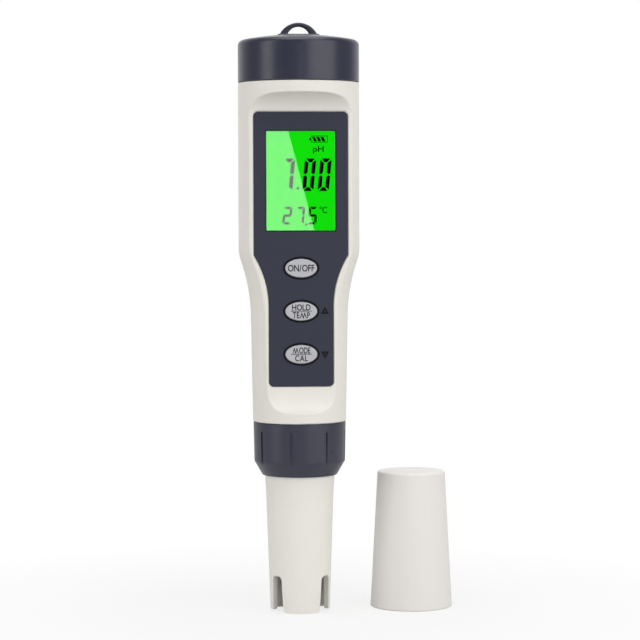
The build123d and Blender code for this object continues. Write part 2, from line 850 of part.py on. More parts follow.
with BuildPart() as carrier:
    with BuildSketch(front_plane(carrier_front)):
        with Locations((0, carrier_middle_z)):
            Rectangle(2 * carrier_half, carrier_length)
        for low_z, high_z in zip(screw_zs, screw_zs[1:]):
            with Locations((0, (low_z + high_z) / 2)):
                RectangleRounded(
                    2 * (rib_offset - rib_width),
                    high_z - low_z - opening_margin,
                    opening_corner,
                    mode=Mode.SUBTRACT,
                )
    extrude(amount=-carrier_thickness)
    with BuildSketch(front_plane(carrier_front)):
        with Locations(*screw_spots):
            Circle(standoff_radius)
    extrude(amount=standoff_height)
    with BuildSketch(front_plane(pcb_rear)):
        with Locations(*screw_spots):
            Circle(screw_radius + screw_play)
    extrude(amount=-standoff_height, mode=Mode.SUBTRACT)
    with BuildSketch(front_plane(carrier_rear)):
        with Locations((0, carrier_middle_z)):
            with GridLocations(2 * rib_offset, 1, 2, 1):
                Rectangle(rib_width, carrier_length)
        with Locations((0, holder_base_z - top_plate_thickness / 2)):
            Rectangle(2 * (rib_offset + rib_width), top_plate_thickness)
    extrude(amount=-rib_depth)
carrier.part.label = "carrier"
export_step(carrier.part, "parts/carrier.step")

# ---------------------------------------------------------------------------
# Sensor socket at the foot of the housing
# ---------------------------------------------------------------------------
socket_radius = lower_bore_radius - socket_play


def socket_disc(low_z, thickness, clear_z):
    """Disc as wide as the socket's flange, with a flat that clears the scoop up to that height."""
    flat = lower_cove_distance(clear_z, wall) - socket_play
    with BuildPart() as disc:
        with BuildSketch(Plane.XY.offset(low_z)):
            Circle(socket_flange_radius)
            with Locations((0, -flat)):
                Rectangle(
                    2 * socket_flange_radius,
                    socket_flange_radius,
                    align=(Align.CENTER, Align.MAX),
                    mode=Mode.SUBTRACT,
                )
        extrude(amount=thickness)
    return disc.part


with BuildPart() as sensor_socket:
    with BuildSketch(Plane.XY.offset(socket_face_z)):
        Circle(socket_radius)
    extrude(amount=socket_board_z - socket_face_z)
    add(socket_disc(socket_flange_z, socket_flange_thickness, board_base_z))
    with BuildSketch(Plane.XY.offset(socket_face_z)):
        with Locations(*pin_spots):
            Circle(sleeve_radius)
    extrude(amount=socket_board_z - socket_face_z, mode=Mode.SUBTRACT)
sensor_socket.part.label = "sensor_socket"
export_step(sensor_socket.part, "parts/sensor_socket.step")

with BuildPart() as socket_gasket:
    add(socket_disc(floor_z, gasket_thickness, socket_flange_z))
    with BuildSketch(Plane.XY.offset(floor_z)):
        Circle(socket_radius + gasket_margin)
    extrude(amount=gasket_thickness, mode=Mode.SUBTRACT)
socket_gasket.part.label = "socket_gasket"
export_step(socket_gasket.part, "parts/socket_gasket.step")

with BuildPart() as socket_board:
    add(socket_disc(socket_board_z, socket_board_thickness, board_base_z))
    with BuildSketch(Plane.XY.offset(socket_board_z)):
        with Locations(*pin_spots):
            Circle(sleeve_radius)
    extrude(amount=socket_board_thickness, mode=Mode.SUBTRACT)
socket_board.part.label = "socket_board"
export_step(socket_board.part, "parts/socket_board.step")

sleeve_inset = 0.2

with BuildPart() as socket_contacts:
    with BuildSketch(Plane.XY.offset(socket_face_z + sleeve_inset)):
        with Locations(*pin_spots):
            Circle(sleeve_radius - fit)
            Circle(sleeve_bore, mode=Mode.SUBTRACT)
    extrude(amount=board_base_z - socket_face_z - sleeve_inset)
socket_contacts.part.label = "socket_contacts"
export_step(socket_contacts.part, "parts/socket_contacts.step")

# ---------------------------------------------------------------------------
# Battery holder, cells and contacts
# ---------------------------------------------------------------------------
stack_spots = [(side * stack_offset, 0) for side in (1, -1)]
blade_y = -(pcb_rear - plate_thickness / 2)
blade_spots = [(side * (stack_offset - blade_shift), blade_y) for side in (1, -1)]
blade_overlap = 3.0  # blade against the board
blade_foot_z = pcb_top_z - blade_overlap
lug_size = 2.0
lug_play = 0.2
lug_circle = 9.0
lug_depth = 2.0
lug_spots = [(0, side * lug_circle) for side in (1, -1)]

with BuildPart() as battery_holder:
    with BuildSketch(Plane.XY.offset(holder_base_z)):
        Circle(holder_radius)
    extrude(amount=holder_top_z - holder_base_z)
    with BuildSketch(Plane.XY.offset(holder_seat_z)):
        Circle(holder_flange_radius)
    extrude(amount=holder_flange_thickness)
    with BuildSketch(Plane.XY.offset(well_floor_z)):
        with Locations(*stack_spots):
            Circle(well_radius)
    extrude(amount=holder_top_z - well_floor_z, mode=Mode.SUBTRACT)
    with BuildSketch(Plane.XY.offset(holder_base_z)):
        with Locations(*blade_spots):
            Rectangle(blade_width + lug_play, plate_thickness + lug_play)
    extrude(amount=holder_floor, mode=Mode.SUBTRACT)
    # flat that clears the housing's own flat front, below the neck
    with BuildSketch(Plane.XY.offset(holder_base_z)):
        with Locations((0, -(inner_face - holder_play))):
            Rectangle(2 * holder_radius, holder_radius, align=(Align.CENTER, Align.MAX))
    extrude(amount=ceiling_z - holder_base_z, mode=Mode.SUBTRACT)
    with BuildSketch(Plane.XY.offset(holder_top_z)):
        with Locations(*lug_spots):
            Rectangle(lug_size + 2 * lug_play, lug_size + 2 * lug_play)
    extrude(amount=-(lug_depth + lug_play), mode=Mode.SUBTRACT)
battery_holder.part.label = "battery_holder"
export_step(battery_holder.part, "parts/battery_holder.step")

cell_can_round = 0.5
cell_lid_inset = 1.2
cell_lid_height = 0.35
cell_lid_radius = cell_diameter / 2 - cell_lid_inset
for stack, (stack_x, stack_y) in enumerate(stack_spots):
    for level in range(cells_per_stack):
        number = stack * cells_per_stack + level + 1
        cell_z = cell_base_z + level * cell_height
        with BuildPart() as cell:
            with BuildSketch(Plane.XY.offset(cell_z + cell_lid_height)):
                with Locations((stack_x, stack_y)):
                    Circle(cell_diameter / 2)
            extrude(amount=cell_height - cell_lid_height)
            fillet(cell.faces().sort_by(Axis.Z)[-1].edges(), cell_can_round)
            with BuildSketch(Plane.XY.offset(cell_z)):
                with Locations((stack_x, stack_y)):
                    Circle(cell_lid_radius)
            extrude(amount=cell_lid_height)
        cell.part.label = f"battery_cell_{number}"
        export_step(cell.part, f"parts/battery_cell_{number}.step")

    with BuildPart() as contact_spring:
        with BuildLine(mode=Mode.PRIVATE) as coil:
            Helix(
                pitch=(spring_height - spring_wire) / spring_turns,
                height=spring_height - spring_wire,
                radius=spring_radius,
                center=(stack_x, stack_y, cell_base_z - spring_height + spring_wire / 2),
            )
        coil_start = coil.line.edges()[0]
        with BuildSketch(Plane(coil_start @ 0, x_dir=(1, 0, 0), z_dir=coil_start % 0)):
            Circle(spring_wire / 2)
        sweep(path=coil.line, is_frenet=True)
    contact_spring.part.label = f"contact_spring_{stack + 1}"
    export_step(contact_spring.part, f"parts/contact_spring_{stack + 1}.step")

with BuildPart() as contact_plates:
    with BuildSketch(Plane.XY.offset(well_floor_z)):
        with Locations(*stack_spots):
            Circle(plate_radius)
    extrude(amount=plate_thickness)
    with BuildSketch(Plane.XY.offset(blade_foot_z)):
        with Locations(*blade_spots):
            Rectangle(blade_width, plate_thickness)
    extrude(amount=well_floor_z - blade_foot_z)
contact_plates.part.label = "contact_plates"
export_step(contact_plates.part, "parts/contact_plates.step")

# ---------------------------------------------------------------------------
# Battery cap with its lanyard loop, O-ring and swivelling contact
# ---------------------------------------------------------------------------
crown_radius = 95.0
cap_edge_round = 1.8
cap_rim_bevel = 0.25
crown_wall = 2.6
boss_radius = 4.0
boss_drop = 0.9
cap_corner = 1.2
loop_foot_width = 12.4
loop_hole_width = 7.2
loop_top_thickness = 1.25
loop_depth = 2.6
loop_round = 0.55
loop_sink = 0.4
pad_width = 12.6
pad_depth = 5.0
pad_height = 0.3
pad_sink = 0.6
pad_slope = 40  # degrees that its sides lean in
swivel_shank = 1.2
swivel_head = 2.3
swivel_head_height = 1.1
swivel_play = 0.1

crown_edge_z = cap_apex_z - crown_radius + sqrt(crown_radius**2 - head_radius**2)
cap_base_z = housing_top_z + seam
cap_ceiling_z = cap_apex_z - crown_wall
boss_z = cap_ceiling_z - boss_drop
loop_foot_z = cap_apex_z - loop_sink
loop_top_z = cap_apex_z + loop_rise
bridge_z = holder_top_z + lug_play - fit
disc_base_z = bridge_z + plate_thickness
disc_top_z = boss_z - swivel_play
disc_radius = 11.0
recess_depth = 0.95
screw_head_z = disc_base_z + recess_depth - swivel_play - swivel_head_height

with BuildPart() as lanyard_loop:
    with BuildSketch(Plane.XZ):
        with BuildLine():
            ThreePointArc(
                (-loop_foot_width / 2, loop_foot_z),
                (0, loop_top_z),
                (loop_foot_width / 2, loop_foot_z),
            )
            Line((loop_foot_width / 2, loop_foot_z), (-loop_foot_width / 2, loop_foot_z))
        make_face()
        with BuildLine():
            ThreePointArc(
                (-loop_hole_width / 2, loop_foot_z),
                (0, loop_top_z - loop_top_thickness),
                (loop_hole_width / 2, loop_foot_z),
            )
            Line((loop_hole_width / 2, loop_foot_z), (-loop_hole_width / 2, loop_foot_z))
        make_face(mode=Mode.SUBTRACT)
    extrude(amount=loop_depth / 2, both=True)
    fillet(lanyard_loop.edges().filter_by(GeomType.CIRCLE), loop_round)

with BuildPart() as cap_bore:
    with BuildSketch(Plane.XY.offset(housing_top_z)):
        Circle(cap_bore_radius)
    extrude(amount=cap_ceiling_z - housing_top_z)
    fillet(cap_bore.faces().sort_by(Axis.Z)[-1].edges(), cap_corner)

cap_ridges = thread_ridges(
    cap_bore_radius, upper_thread_low_z, upper_thread_high_z, 90, inward=True
)

with BuildPart() as top_cap:
    with BuildSketch(Plane.XZ) as cap_section:
        with BuildLine():
            crown = TangentArc((0, cap_apex_z), (head_radius, crown_edge_z), tangent=(1, 0))
            Polyline(crown @ 1, (head_radius, cap_base_z), (0, cap_base_z), crown @ 0)
        make_face()
        rim_vertices = cap_section.vertices().group_by(Axis.X)[-1].sort_by(Axis.Y)
        fillet(rim_vertices[-1], cap_edge_round)
        chamfer(cap_section.vertices().group_by(Axis.X)[-1].sort_by(Axis.Y)[0], cap_rim_bevel)
    revolve(axis=Axis.Z)
    add(cap_bore.part, mode=Mode.SUBTRACT)
    with BuildSketch(Plane.XY.offset(boss_z)):
        Circle(boss_radius)
    extrude(amount=boss_drop + fit)
    with BuildSketch(Plane.XY.offset(boss_z)):
        Circle(swivel_shank + screw_play)
    extrude(amount=boss_drop + crown_wall / 2, mode=Mode.SUBTRACT)
    add(cap_ridges)
    with BuildSketch(Plane.XY.offset(cap_apex_z - pad_sink)):
        RectangleRounded(pad_width + 2 * (pad_height + pad_sink), pad_depth, pad_depth / 3)
    extrude(amount=pad_height + pad_sink, taper=pad_slope)
    add(lanyard_loop.part)
top_cap.part.label = "top_cap"
export_step(top_cap.part, "parts/top_cap.step")

with BuildPart() as cap_oring:
    with Locations((0, 0, cap_seal_z + cap_seal_wire + groove_play)):
        Torus(cap_groove_radius + cap_seal_wire, cap_seal_wire)
cap_oring.part.label = "cap_oring"
export_step(cap_oring.part, "parts/cap_oring.step")

with BuildPart() as contact_carrier:
    with BuildSketch(Plane.XY.offset(disc_base_z)):
        Circle(disc_radius)
    extrude(amount=disc_top_z - disc_base_z)
    with BuildSketch(Plane.XY.offset(disc_base_z)):
        with Locations(*lug_spots):
            Rectangle(lug_size, lug_size)
    extrude(amount=-(lug_depth + disc_base_z - holder_top_z - lug_play))
    with BuildSketch(Plane.XY.offset(disc_base_z)):
        Circle(swivel_shank + swivel_play)
    extrude(amount=disc_top_z - disc_base_z, mode=Mode.SUBTRACT)
    with BuildSketch(Plane.XY.offset(disc_base_z)):
        Circle(swivel_head + swivel_play)
    extrude(amount=recess_depth, mode=Mode.SUBTRACT)
contact_carrier.part.label = "contact_carrier"
export_step(contact_carrier.part, "parts/contact_carrier.step")

bridge_width = 5.6
bridge_stud_radius = 2.0

with BuildPart() as bridge_contact:
    with BuildSketch(Plane.XY.offset(bridge_z)):
        SlotOverall(2 * stack_offset + bridge_width, bridge_width)
        Circle(swivel_head + 2 * swivel_play, mode=Mode.SUBTRACT)
    extrude(amount=plate_thickness)
    with BuildSketch(Plane.XY.offset(cell_top_z + fit)):
        with Locations(*stack_spots):
            Circle(bridge_stud_radius)
    extrude(amount=bridge_z - cell_top_z - fit)
bridge_contact.part.label = "bridge_contact"
export_step(bridge_contact.part, "parts/bridge_contact.step")

with BuildPart() as swivel_screw:
    with BuildSketch(Plane.XY.offset(screw_head_z)):
        Circle(swivel_head)
    extrude(amount=swivel_head_height)
    with BuildSketch(Plane.XY.offset(screw_head_z + swivel_head_height)):
        Circle(swivel_shank)
    extrude(amount=boss_z + boss_drop - screw_head_z - swivel_head_height)
    with BuildSketch(Plane.XY.offset(screw_head_z)):
        Rectangle(2 * swivel_shank, swivel_head_height / 3)
        Rectangle(swivel_head_height / 3, 2 * swivel_shank)
    extrude(amount=swivel_head_height / 2, mode=Mode.SUBTRACT)
swivel_screw.part.label = "swivel_screw"
export_step(swivel_screw.part, "parts/swivel_screw.step")

# ---------------------------------------------------------------------------
# Ring nut that holds the electrode
# ---------------------------------------------------------------------------
collar_taper = 0.25
collar_shoulder = 4.4
collar_foot_radius_step = 0.5
collar_round = 1.6
collar_hole_play = 0.25
groove_count = 8
groove_width = 0.8
groove_sink = 0.35
groove_low = 3.2
groove_high = 2.8
groove_phase = -103.3  # first groove, degrees from +X

collar_hole_radius = guard_root_radius + collar_hole_play
collar_foot_radius = collar_hole_radius + collar_foot_radius_step
collar_top_z = housing_base_z - seam
groove_length = collar_height - groove_low - groove_high
collar_ridges = thread_ridges(
    collar_bore_radius, lower_thread_low_z, lower_thread_high_z, 90, inward=True
)

with BuildPart() as collar_nut:
    with BuildSketch(Plane.XZ):
        with BuildLine():
            nut_skin = FilletPolyline(
                (collar_hole_radius, collar_base_z),
                (collar_foot_radius, collar_base_z),
                (collar_radius - collar_taper, collar_base_z + collar_shoulder),
                (collar_radius, collar_top_z),
                (collar_bore_radius, collar_top_z),
                radius=[rim_round / 2, collar_round, cap_rim_bevel],
            )
            Polyline(
                nut_skin @ 1,
                (collar_bore_radius, ledge_z),
                (collar_hole_radius, ledge_z),
                nut_skin @ 0,
            )
        make_face()
    revolve(axis=Axis.Z)
    add(collar_ridges)
    with Locations((0, 0, collar_base_z + groove_low + groove_length / 2)):
        with PolarLocations(collar_radius, groove_count, start_angle=groove_phase):
            Box(2 * groove_sink + collar_taper, groove_width, groove_length, mode=Mode.SUBTRACT)
collar_nut.part.label = "collar_nut"
export_step(collar_nut.part, "parts/collar_nut.step")

# ---------------------------------------------------------------------------
# Electrode: guard and plug body
# ---------------------------------------------------------------------------
plug_seat_depth = 3.0
plug_seat_step = 0.4
probe_seal_wire = 0.6
probe_seal_sink = 0.95
seal_groove_drop = 3.2
guard_flare_z = collar_base_z - guard_flare_length
plug_seat_z = spigot_top_z - plug_seat_depth
probe_groove_radius = spigot_radius - probe_seal_sink
probe_seal_z = spigot_top_z - seal_groove_drop
slot_angles = [-90 - slot_centre, -90 + slot_centre, 90]

with BuildPart() as probe_sleeve:
    with BuildSketch(Plane.XZ):
        with BuildLine():
            cone = Line((guard_tip_radius, 0), (guard_neck_radius, guard_flare_z))
            flare = TangentArc(cone @ 1, (guard_root_radius, collar_base_z), tangent=cone % 1)
            Polyline(
                flare @ 1,
                (guard_root_radius, flange_base_z),
                (lower_root_radius, flange_base_z),
                (lower_root_radius, flange_top_z),
                (spigot_radius, flange_top_z),
                (spigot_radius, spigot_top_z),
                (guard_bore + plug_seat_step, spigot_top_z),
                (guard_bore + plug_seat_step, plug_seat_z),
                (guard_bore, plug_seat_z),
                (guard_bore, 0),
                cone @ 0,
            )
        make_face()
    revolve(axis=Axis.Z)
    # groove for the O-ring
    with BuildSketch(Plane.XY.offset(probe_seal_z - probe_seal_wire - groove_play)):
        Circle(spigot_radius + groove_play)
        Circle(probe_groove_radius, mode=Mode.SUBTRACT)
    extrude(amount=2 * (probe_seal_wire + groove_play), mode=Mode.SUBTRACT)
    # slots that let the sample in, open at the foot
    for slot_angle in slot_angles:
        outward = Vector(cos(radians(slot_angle)), sin(radians(slot_angle)), 0)
        across = Vector(-sin(radians(slot_angle)), cos(radians(slot_angle)), 0)
        with BuildSketch(Plane((0, 0, 0), x_dir=across, z_dir=outward)) as slot:
            with BuildLine():
                Polyline(
                    (-slot_foot_width / 2, -1),
                    (slot_foot_width / 2, -1),
                    (slot_top_width / 2, slot_height),
                    (-slot_top_width / 2, slot_height),
                    close=True,
                )
            make_face()
            fillet(slot.vertices().group_by(Axis.Z)[-1], slot_round)
        extrude(amount=guard_root_radius, mode=Mode.SUBTRACT)
    fillet(
        probe_sleeve.edges().filter_by(GeomType.LINE).filter_by_position(Axis.Z, -fit, fit),
        tongue_corner,
    )
    # side walls stop short of the foot, so that the meter stands on its front tongue and two feet
    short_front_y = -guard_bore * cos(radians(slot_centre))
    short_rear_y = side_rim_reach * guard_bore
    with Locations((0, (short_front_y + short_rear_y) / 2, 0)):
        Box(
            2 * guard_root_radius,
            short_rear_y - short_front_y,
            2 * side_rim_lift,
            mode=Mode.SUBTRACT,
        )
probe_sleeve.part.label = "probe_sleeve"
export_step(probe_sleeve.part, "parts/probe_sleeve.step")

with BuildPart() as probe_oring:
    with Locations((0, 0, probe_seal_z)):
        Torus(probe_groove_radius + probe_seal_wire, probe_seal_wire)
probe_oring.part.label = "probe_oring"
export_step(probe_oring.part, "parts/probe_oring.step")

with BuildPart() as probe_plug:
    with BuildSketch(Plane.XY.offset(plug_seat_z)):
        Circle(guard_bore + plug_seat_step - fit)
        with Locations(*pin_spots):
            Circle(pin_radius + fit, mode=Mode.SUBTRACT)
    extrude(amount=plug_seat_depth)
probe_plug.part.label = "probe_plug"
export_step(probe_plug.part, "parts/probe_plug.step")

pin_tail = 1.5
pin_base_z = plug_seat_z - pin_tail

with BuildPart() as connector_pins:
    with BuildSketch(Plane.XY.offset(pin_base_z)):
        with Locations(*pin_spots):
            Circle(pin_radius)
    extrude(amount=spigot_top_z + pin_rise - pin_base_z)
    chamfer(connector_pins.faces().group_by(Axis.Z)[-1].edges(), pin_radius / 2)
connector_pins.part.label = "connector_pins"
export_step(connector_pins.part, "parts/connector_pins.step")

# ---------------------------------------------------------------------------
# Electrode: glass bulb, reference, conductivity pins and temperature sensor
# ---------------------------------------------------------------------------
wire_radius = 0.4
reference_radius = 1.9
frit_radius = 1.2
frit_length = 2.0
ec_radius = 0.8
ec_angle = 16.0  # degrees in front of the sides
temperature_radius = 1.2
temperature_round = 0.96
stem_top_z = sensor_top_z + 2.0
reference_spot = (0, sensor_circle)
temperature_spot = (0, -sensor_circle)
ec_spots = [
    (side * sensor_circle * cos(radians(ec_angle)), -sensor_circle * sin(radians(ec_angle)))
    for side in (1, -1)
]
potting_play = 0.02

with BuildPart() as ph_glass:
    with BuildSketch(Plane.XY.offset(bulb_z)):
        Circle(stem_radius)
    extrude(amount=stem_top_z - bulb_z)
    with Locations((0, 0, bulb_z)):
        Sphere(bulb_radius)
    with BuildSketch(Plane.XY.offset(bulb_z)):
        Circle(stem_radius - glass_wall)
    extrude(amount=stem_top_z - bulb_z, mode=Mode.SUBTRACT)
    with Locations((0, 0, bulb_z)):
        Sphere(bulb_radius - glass_wall, mode=Mode.SUBTRACT)
ph_glass.part.label = "ph_glass"
export_step(ph_glass.part, "parts/ph_glass.step")

stopper_length = 3.0

with BuildPart() as ph_wire:
    with BuildSketch(Plane.XY.offset(bulb_z - bulb_radius / 2)):
        Circle(wire_radius)
    extrude(amount=stem_top_z + stopper_length / 2 - bulb_z + bulb_radius / 2)
    with BuildSketch(Plane.XY.offset(stem_top_z - stopper_length)):
        Circle(stem_radius - glass_wall)
    extrude(amount=stopper_length)
ph_wire.part.label = "ph_wire"
export_step(ph_wire.part, "parts/ph_wire.step")

with BuildPart() as reference_tube:
    with BuildSketch(Plane.XY.offset(potting_z)):
        with Locations(reference_spot):
            Circle(reference_radius)
    extrude(amount=sensor_top_z - potting_z)
    with BuildSketch(Plane.XY.offset(potting_z)):
        with Locations(reference_spot):
            Circle(frit_radius)
    extrude(amount=frit_length, mode=Mode.SUBTRACT)
reference_tube.part.label = "reference_tube"
export_step(reference_tube.part, "parts/reference_tube.step")

with BuildPart() as reference_frit:
    with BuildSketch(Plane.XY.offset(potting_z - frit_length)):
        with Locations(reference_spot):
            Circle(frit_radius)
    extrude(amount=2 * frit_length)
reference_frit.part.label = "reference_frit"
export_step(reference_frit.part, "parts/reference_frit.step")

with BuildPart() as ec_pins:
    with BuildSketch(Plane.XY.offset(sensor_tip_z)):
        with Locations(*ec_spots):
            Circle(ec_radius)
    extrude(amount=sensor_top_z - sensor_tip_z)
    fillet(ec_pins.faces().group_by(Axis.Z)[0].edges(), ec_radius / 2)
ec_pins.part.label = "ec_pins"
export_step(ec_pins.part, "parts/ec_pins.step")

with BuildPart() as temperature_sensor:
    with BuildSketch(Plane.XY.offset(sensor_tip_z)):
        with Locations(temperature_spot):
            Circle(temperature_radius)
    extrude(amount=sensor_top_z - sensor_tip_z)
    fillet(temperature_sensor.faces().sort_by(Axis.Z)[0].edges(), temperature_round)
temperature_sensor.part.label = "temperature_sensor"
export_step(temperature_sensor.part, "parts/temperature_sensor.step")

with BuildPart() as probe_potting:
    with BuildSketch(Plane.XY.offset(potting_z)):
        Circle(guard_bore - potting_play)
        Circle(stem_radius + potting_play, mode=Mode.SUBTRACT)
        with Locations(reference_spot):
            Circle(reference_radius + potting_play, mode=Mode.SUBTRACT)
        with Locations(temperature_spot):
            Circle(temperature_radius + potting_play, mode=Mode.SUBTRACT)
        with Locations(*ec_spots):
            Circle(ec_radius + potting_play, mode=Mode.SUBTRACT)
    extrude(amount=potting_length)
probe_potting.part.label = "probe_potting"
export_step(probe_potting.part, "parts/probe_potting.step")

lead_radius = 0.25
lead_starts = [
    (*reference_spot, sensor_top_z),
    (*temperature_spot, sensor_top_z),
    *[(x, y, sensor_top_z) for x, y in ec_spots],
]
lead_pins = [1, 4, 5, 3]  # pin that each lead is soldered to

with BuildPart() as probe_leads:
    for lead_start, pin in zip(lead_starts, lead_pins):
        lead_end = Vector(*pin_spots[pin], pin_base_z)
        with BuildLine() as lead:
            Line(lead_start, lead_end)
        with BuildSketch(Plane(lead_start, z_dir=lead.line % 0)):
            Circle(lead_radius)
        sweep(path=lead.line)
probe_leads.part.label = "probe_leads"
export_step(probe_leads.part, "parts/probe_leads.step")

# ---------------------------------------------------------------------------
# Storage cap, stood on its open end beside the meter
# ---------------------------------------------------------------------------
storage_inner_tip = guard_tip_radius + storage_tip_play
storage_inner_rim = guard_root_radius + storage_rim_play
storage_tip_radius = storage_inner_tip + storage_wall_tip
storage_rim_radius = storage_inner_rim + storage_wall_rim
storage_height = probe_length + storage_extra
storage_x = head_radius + storage_rim_radius + storage_gap
storage_round = 0.7
storage_plane = Plane((storage_x, storage_back, 0), x_dir=(1, 0, 0), z_dir=(0, -1, 0))

with BuildPart() as storage_cap:
    with BuildSketch(storage_plane):
        with BuildLine():
            FilletPolyline(
                (0, storage_height),
                (storage_tip_radius, storage_height),
                (storage_rim_radius, 0),
                (storage_inner_rim, 0),
                (storage_inner_tip, storage_height - storage_end),
                (0, storage_height - storage_end),
                radius=[storage_round, rim_round, rim_round, storage_round],
            )
            Line((0, storage_height - storage_end), (0, storage_height))
        make_face()
    revolve(axis=Axis((storage_x, storage_back, 0), (0, 0, 1)))
storage_cap.part.label = "storage_cap"
export_step(storage_cap.part, "parts/storage_cap.step")
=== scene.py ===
"""Looks of a pocket pH meter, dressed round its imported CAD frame.

Lengths are in millimetres, save where a comment says metres, and turn to metres through MM.
The display faces -Y, +X is to its right and +Z runs up the meter.
"""

import logging
import math
from dataclasses import dataclass
from enum import Enum
from functools import cache
from typing import Sequence, Union

import bmesh
import bpy
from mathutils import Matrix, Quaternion, Vector


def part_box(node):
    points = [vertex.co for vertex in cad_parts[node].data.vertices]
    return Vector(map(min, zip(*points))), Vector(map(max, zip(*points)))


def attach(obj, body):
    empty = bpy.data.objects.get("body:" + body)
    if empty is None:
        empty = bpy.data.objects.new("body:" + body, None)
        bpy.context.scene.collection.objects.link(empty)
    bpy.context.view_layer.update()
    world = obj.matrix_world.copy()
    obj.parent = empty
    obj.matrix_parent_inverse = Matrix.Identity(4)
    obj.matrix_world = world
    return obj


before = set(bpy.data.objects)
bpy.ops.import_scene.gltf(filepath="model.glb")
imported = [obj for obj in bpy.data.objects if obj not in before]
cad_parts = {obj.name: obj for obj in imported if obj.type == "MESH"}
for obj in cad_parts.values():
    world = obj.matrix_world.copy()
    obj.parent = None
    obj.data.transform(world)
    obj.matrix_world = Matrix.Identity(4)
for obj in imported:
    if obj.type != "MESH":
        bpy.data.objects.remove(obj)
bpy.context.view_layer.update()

MM = 0.001
WELD = 1e-7  # metres within which two corners become one
LOG = logging.getLogger("ph_meter")
Value = Union[float, Sequence[float], bpy.types.NodeSocket, bpy.types.Material]
Outline = Sequence[tuple[float, float]]


# ---------------------------------------------------------------------------
# Small tools
# ---------------------------------------------------------------------------
def linear(hex_colour: str) -> tuple[float, float, float, float]:
    """Turn an sRGB hex value into the linear RGBA that a shader takes.

    Args:
        hex_colour: Six hex digits with a leading hash.

    Returns:
        Linear red, green, blue and an alpha of one.
    """
    channels = [int(hex_colour[i : i + 2], 16) / 255 for i in (1, 3, 5)]
    lit = [c / 12.92 if c <= 0.04045 else ((c + 0.055) / 1.055) ** 2.4 for c in channels]
    return (*lit, 1.0)


def per_metre(size_mm: float) -> float:
    """Give the texture scale at which a pattern repeats about every size_mm."""
    return 1.0 / (size_mm * MM)


def add_node(
    tree: bpy.types.NodeTree,
    kind: str,
    inputs: dict[Union[str, int], Value] | None = None,
    **settings: object,
) -> bpy.types.Node:
    """Add one node with its settings and its inputs.

    Args:
        tree: Shader or geometry tree that takes the node.
        kind: Blender's identifier of the node type.
        inputs: Input name or index, to a value or to the socket that feeds it.
        **settings: Properties of the node itself.

    Returns:
        The new node.
    """
    node = tree.nodes.new(kind)
    for key, value in settings.items():
        setattr(node, key, value)
    for key, value in (inputs or {}).items():
        if isinstance(value, bpy.types.NodeSocket):
            tree.links.new(value, node.inputs[key])
        else:
            node.inputs[key].default_value = value
    return node


def new_mesh_object(name: str, builder: bmesh.types.BMesh) -> bpy.types.Object:
    """Turn a bmesh into an object with its faces pointing outwards.

    Args:
        name: Name of the object.
        builder: Mesh under construction, which is freed.

    Returns:
        The object, at the origin.
    """
    bmesh.ops.recalc_face_normals(builder, faces=builder.faces)
    mesh = bpy.data.meshes.new(name)
    builder.to_mesh(mesh)
    builder.free()
    piece = bpy.data.objects.new(name, mesh)
    bpy.context.scene.collection.objects.link(piece)
    return piece


def new_material(name: str) -> tuple[bpy.types.Material, bpy.types.NodeTree, bpy.types.Node]:
    """Start a node material.

    Args:
        name: What the material is.

    Returns:
        The material, its tree and its Principled shader.
    """
    material = bpy.data.materials.new(name)
    material.use_nodes = True
    return material, material.node_tree, material.node_tree.nodes["Principled BSDF"]


def rectangle(left: float, base: float, right: float, top: float) -> Outline:
    """Give the corners of a rectangle, from its lower left."""
    return [(left, base), (right, base), (right, top), (left, top)]


# ---------------------------------------------------------------------------
# Finishes
# ---------------------------------------------------------------------------
NOISE_LOW, NOISE_HIGH = 0.3, 0.7  # most of a noise texture's values lie between these
LINE_STRETCH = 40  # how many times longer than wide a drawn or ground line is
SMEARS_PER_PATCH = 3  # smears of the gloss across one patch of the colour


class Grain(Enum):
    """How a surface was made, which sets the pattern in its bump."""

    SPARKED = "spark-eroded mould grain"
    POLISHED = "polished mould, with faint orange peel"
    BRUSHED = "drawn or turned, with fine lines"
    CAST = "poured or fired, with pores"


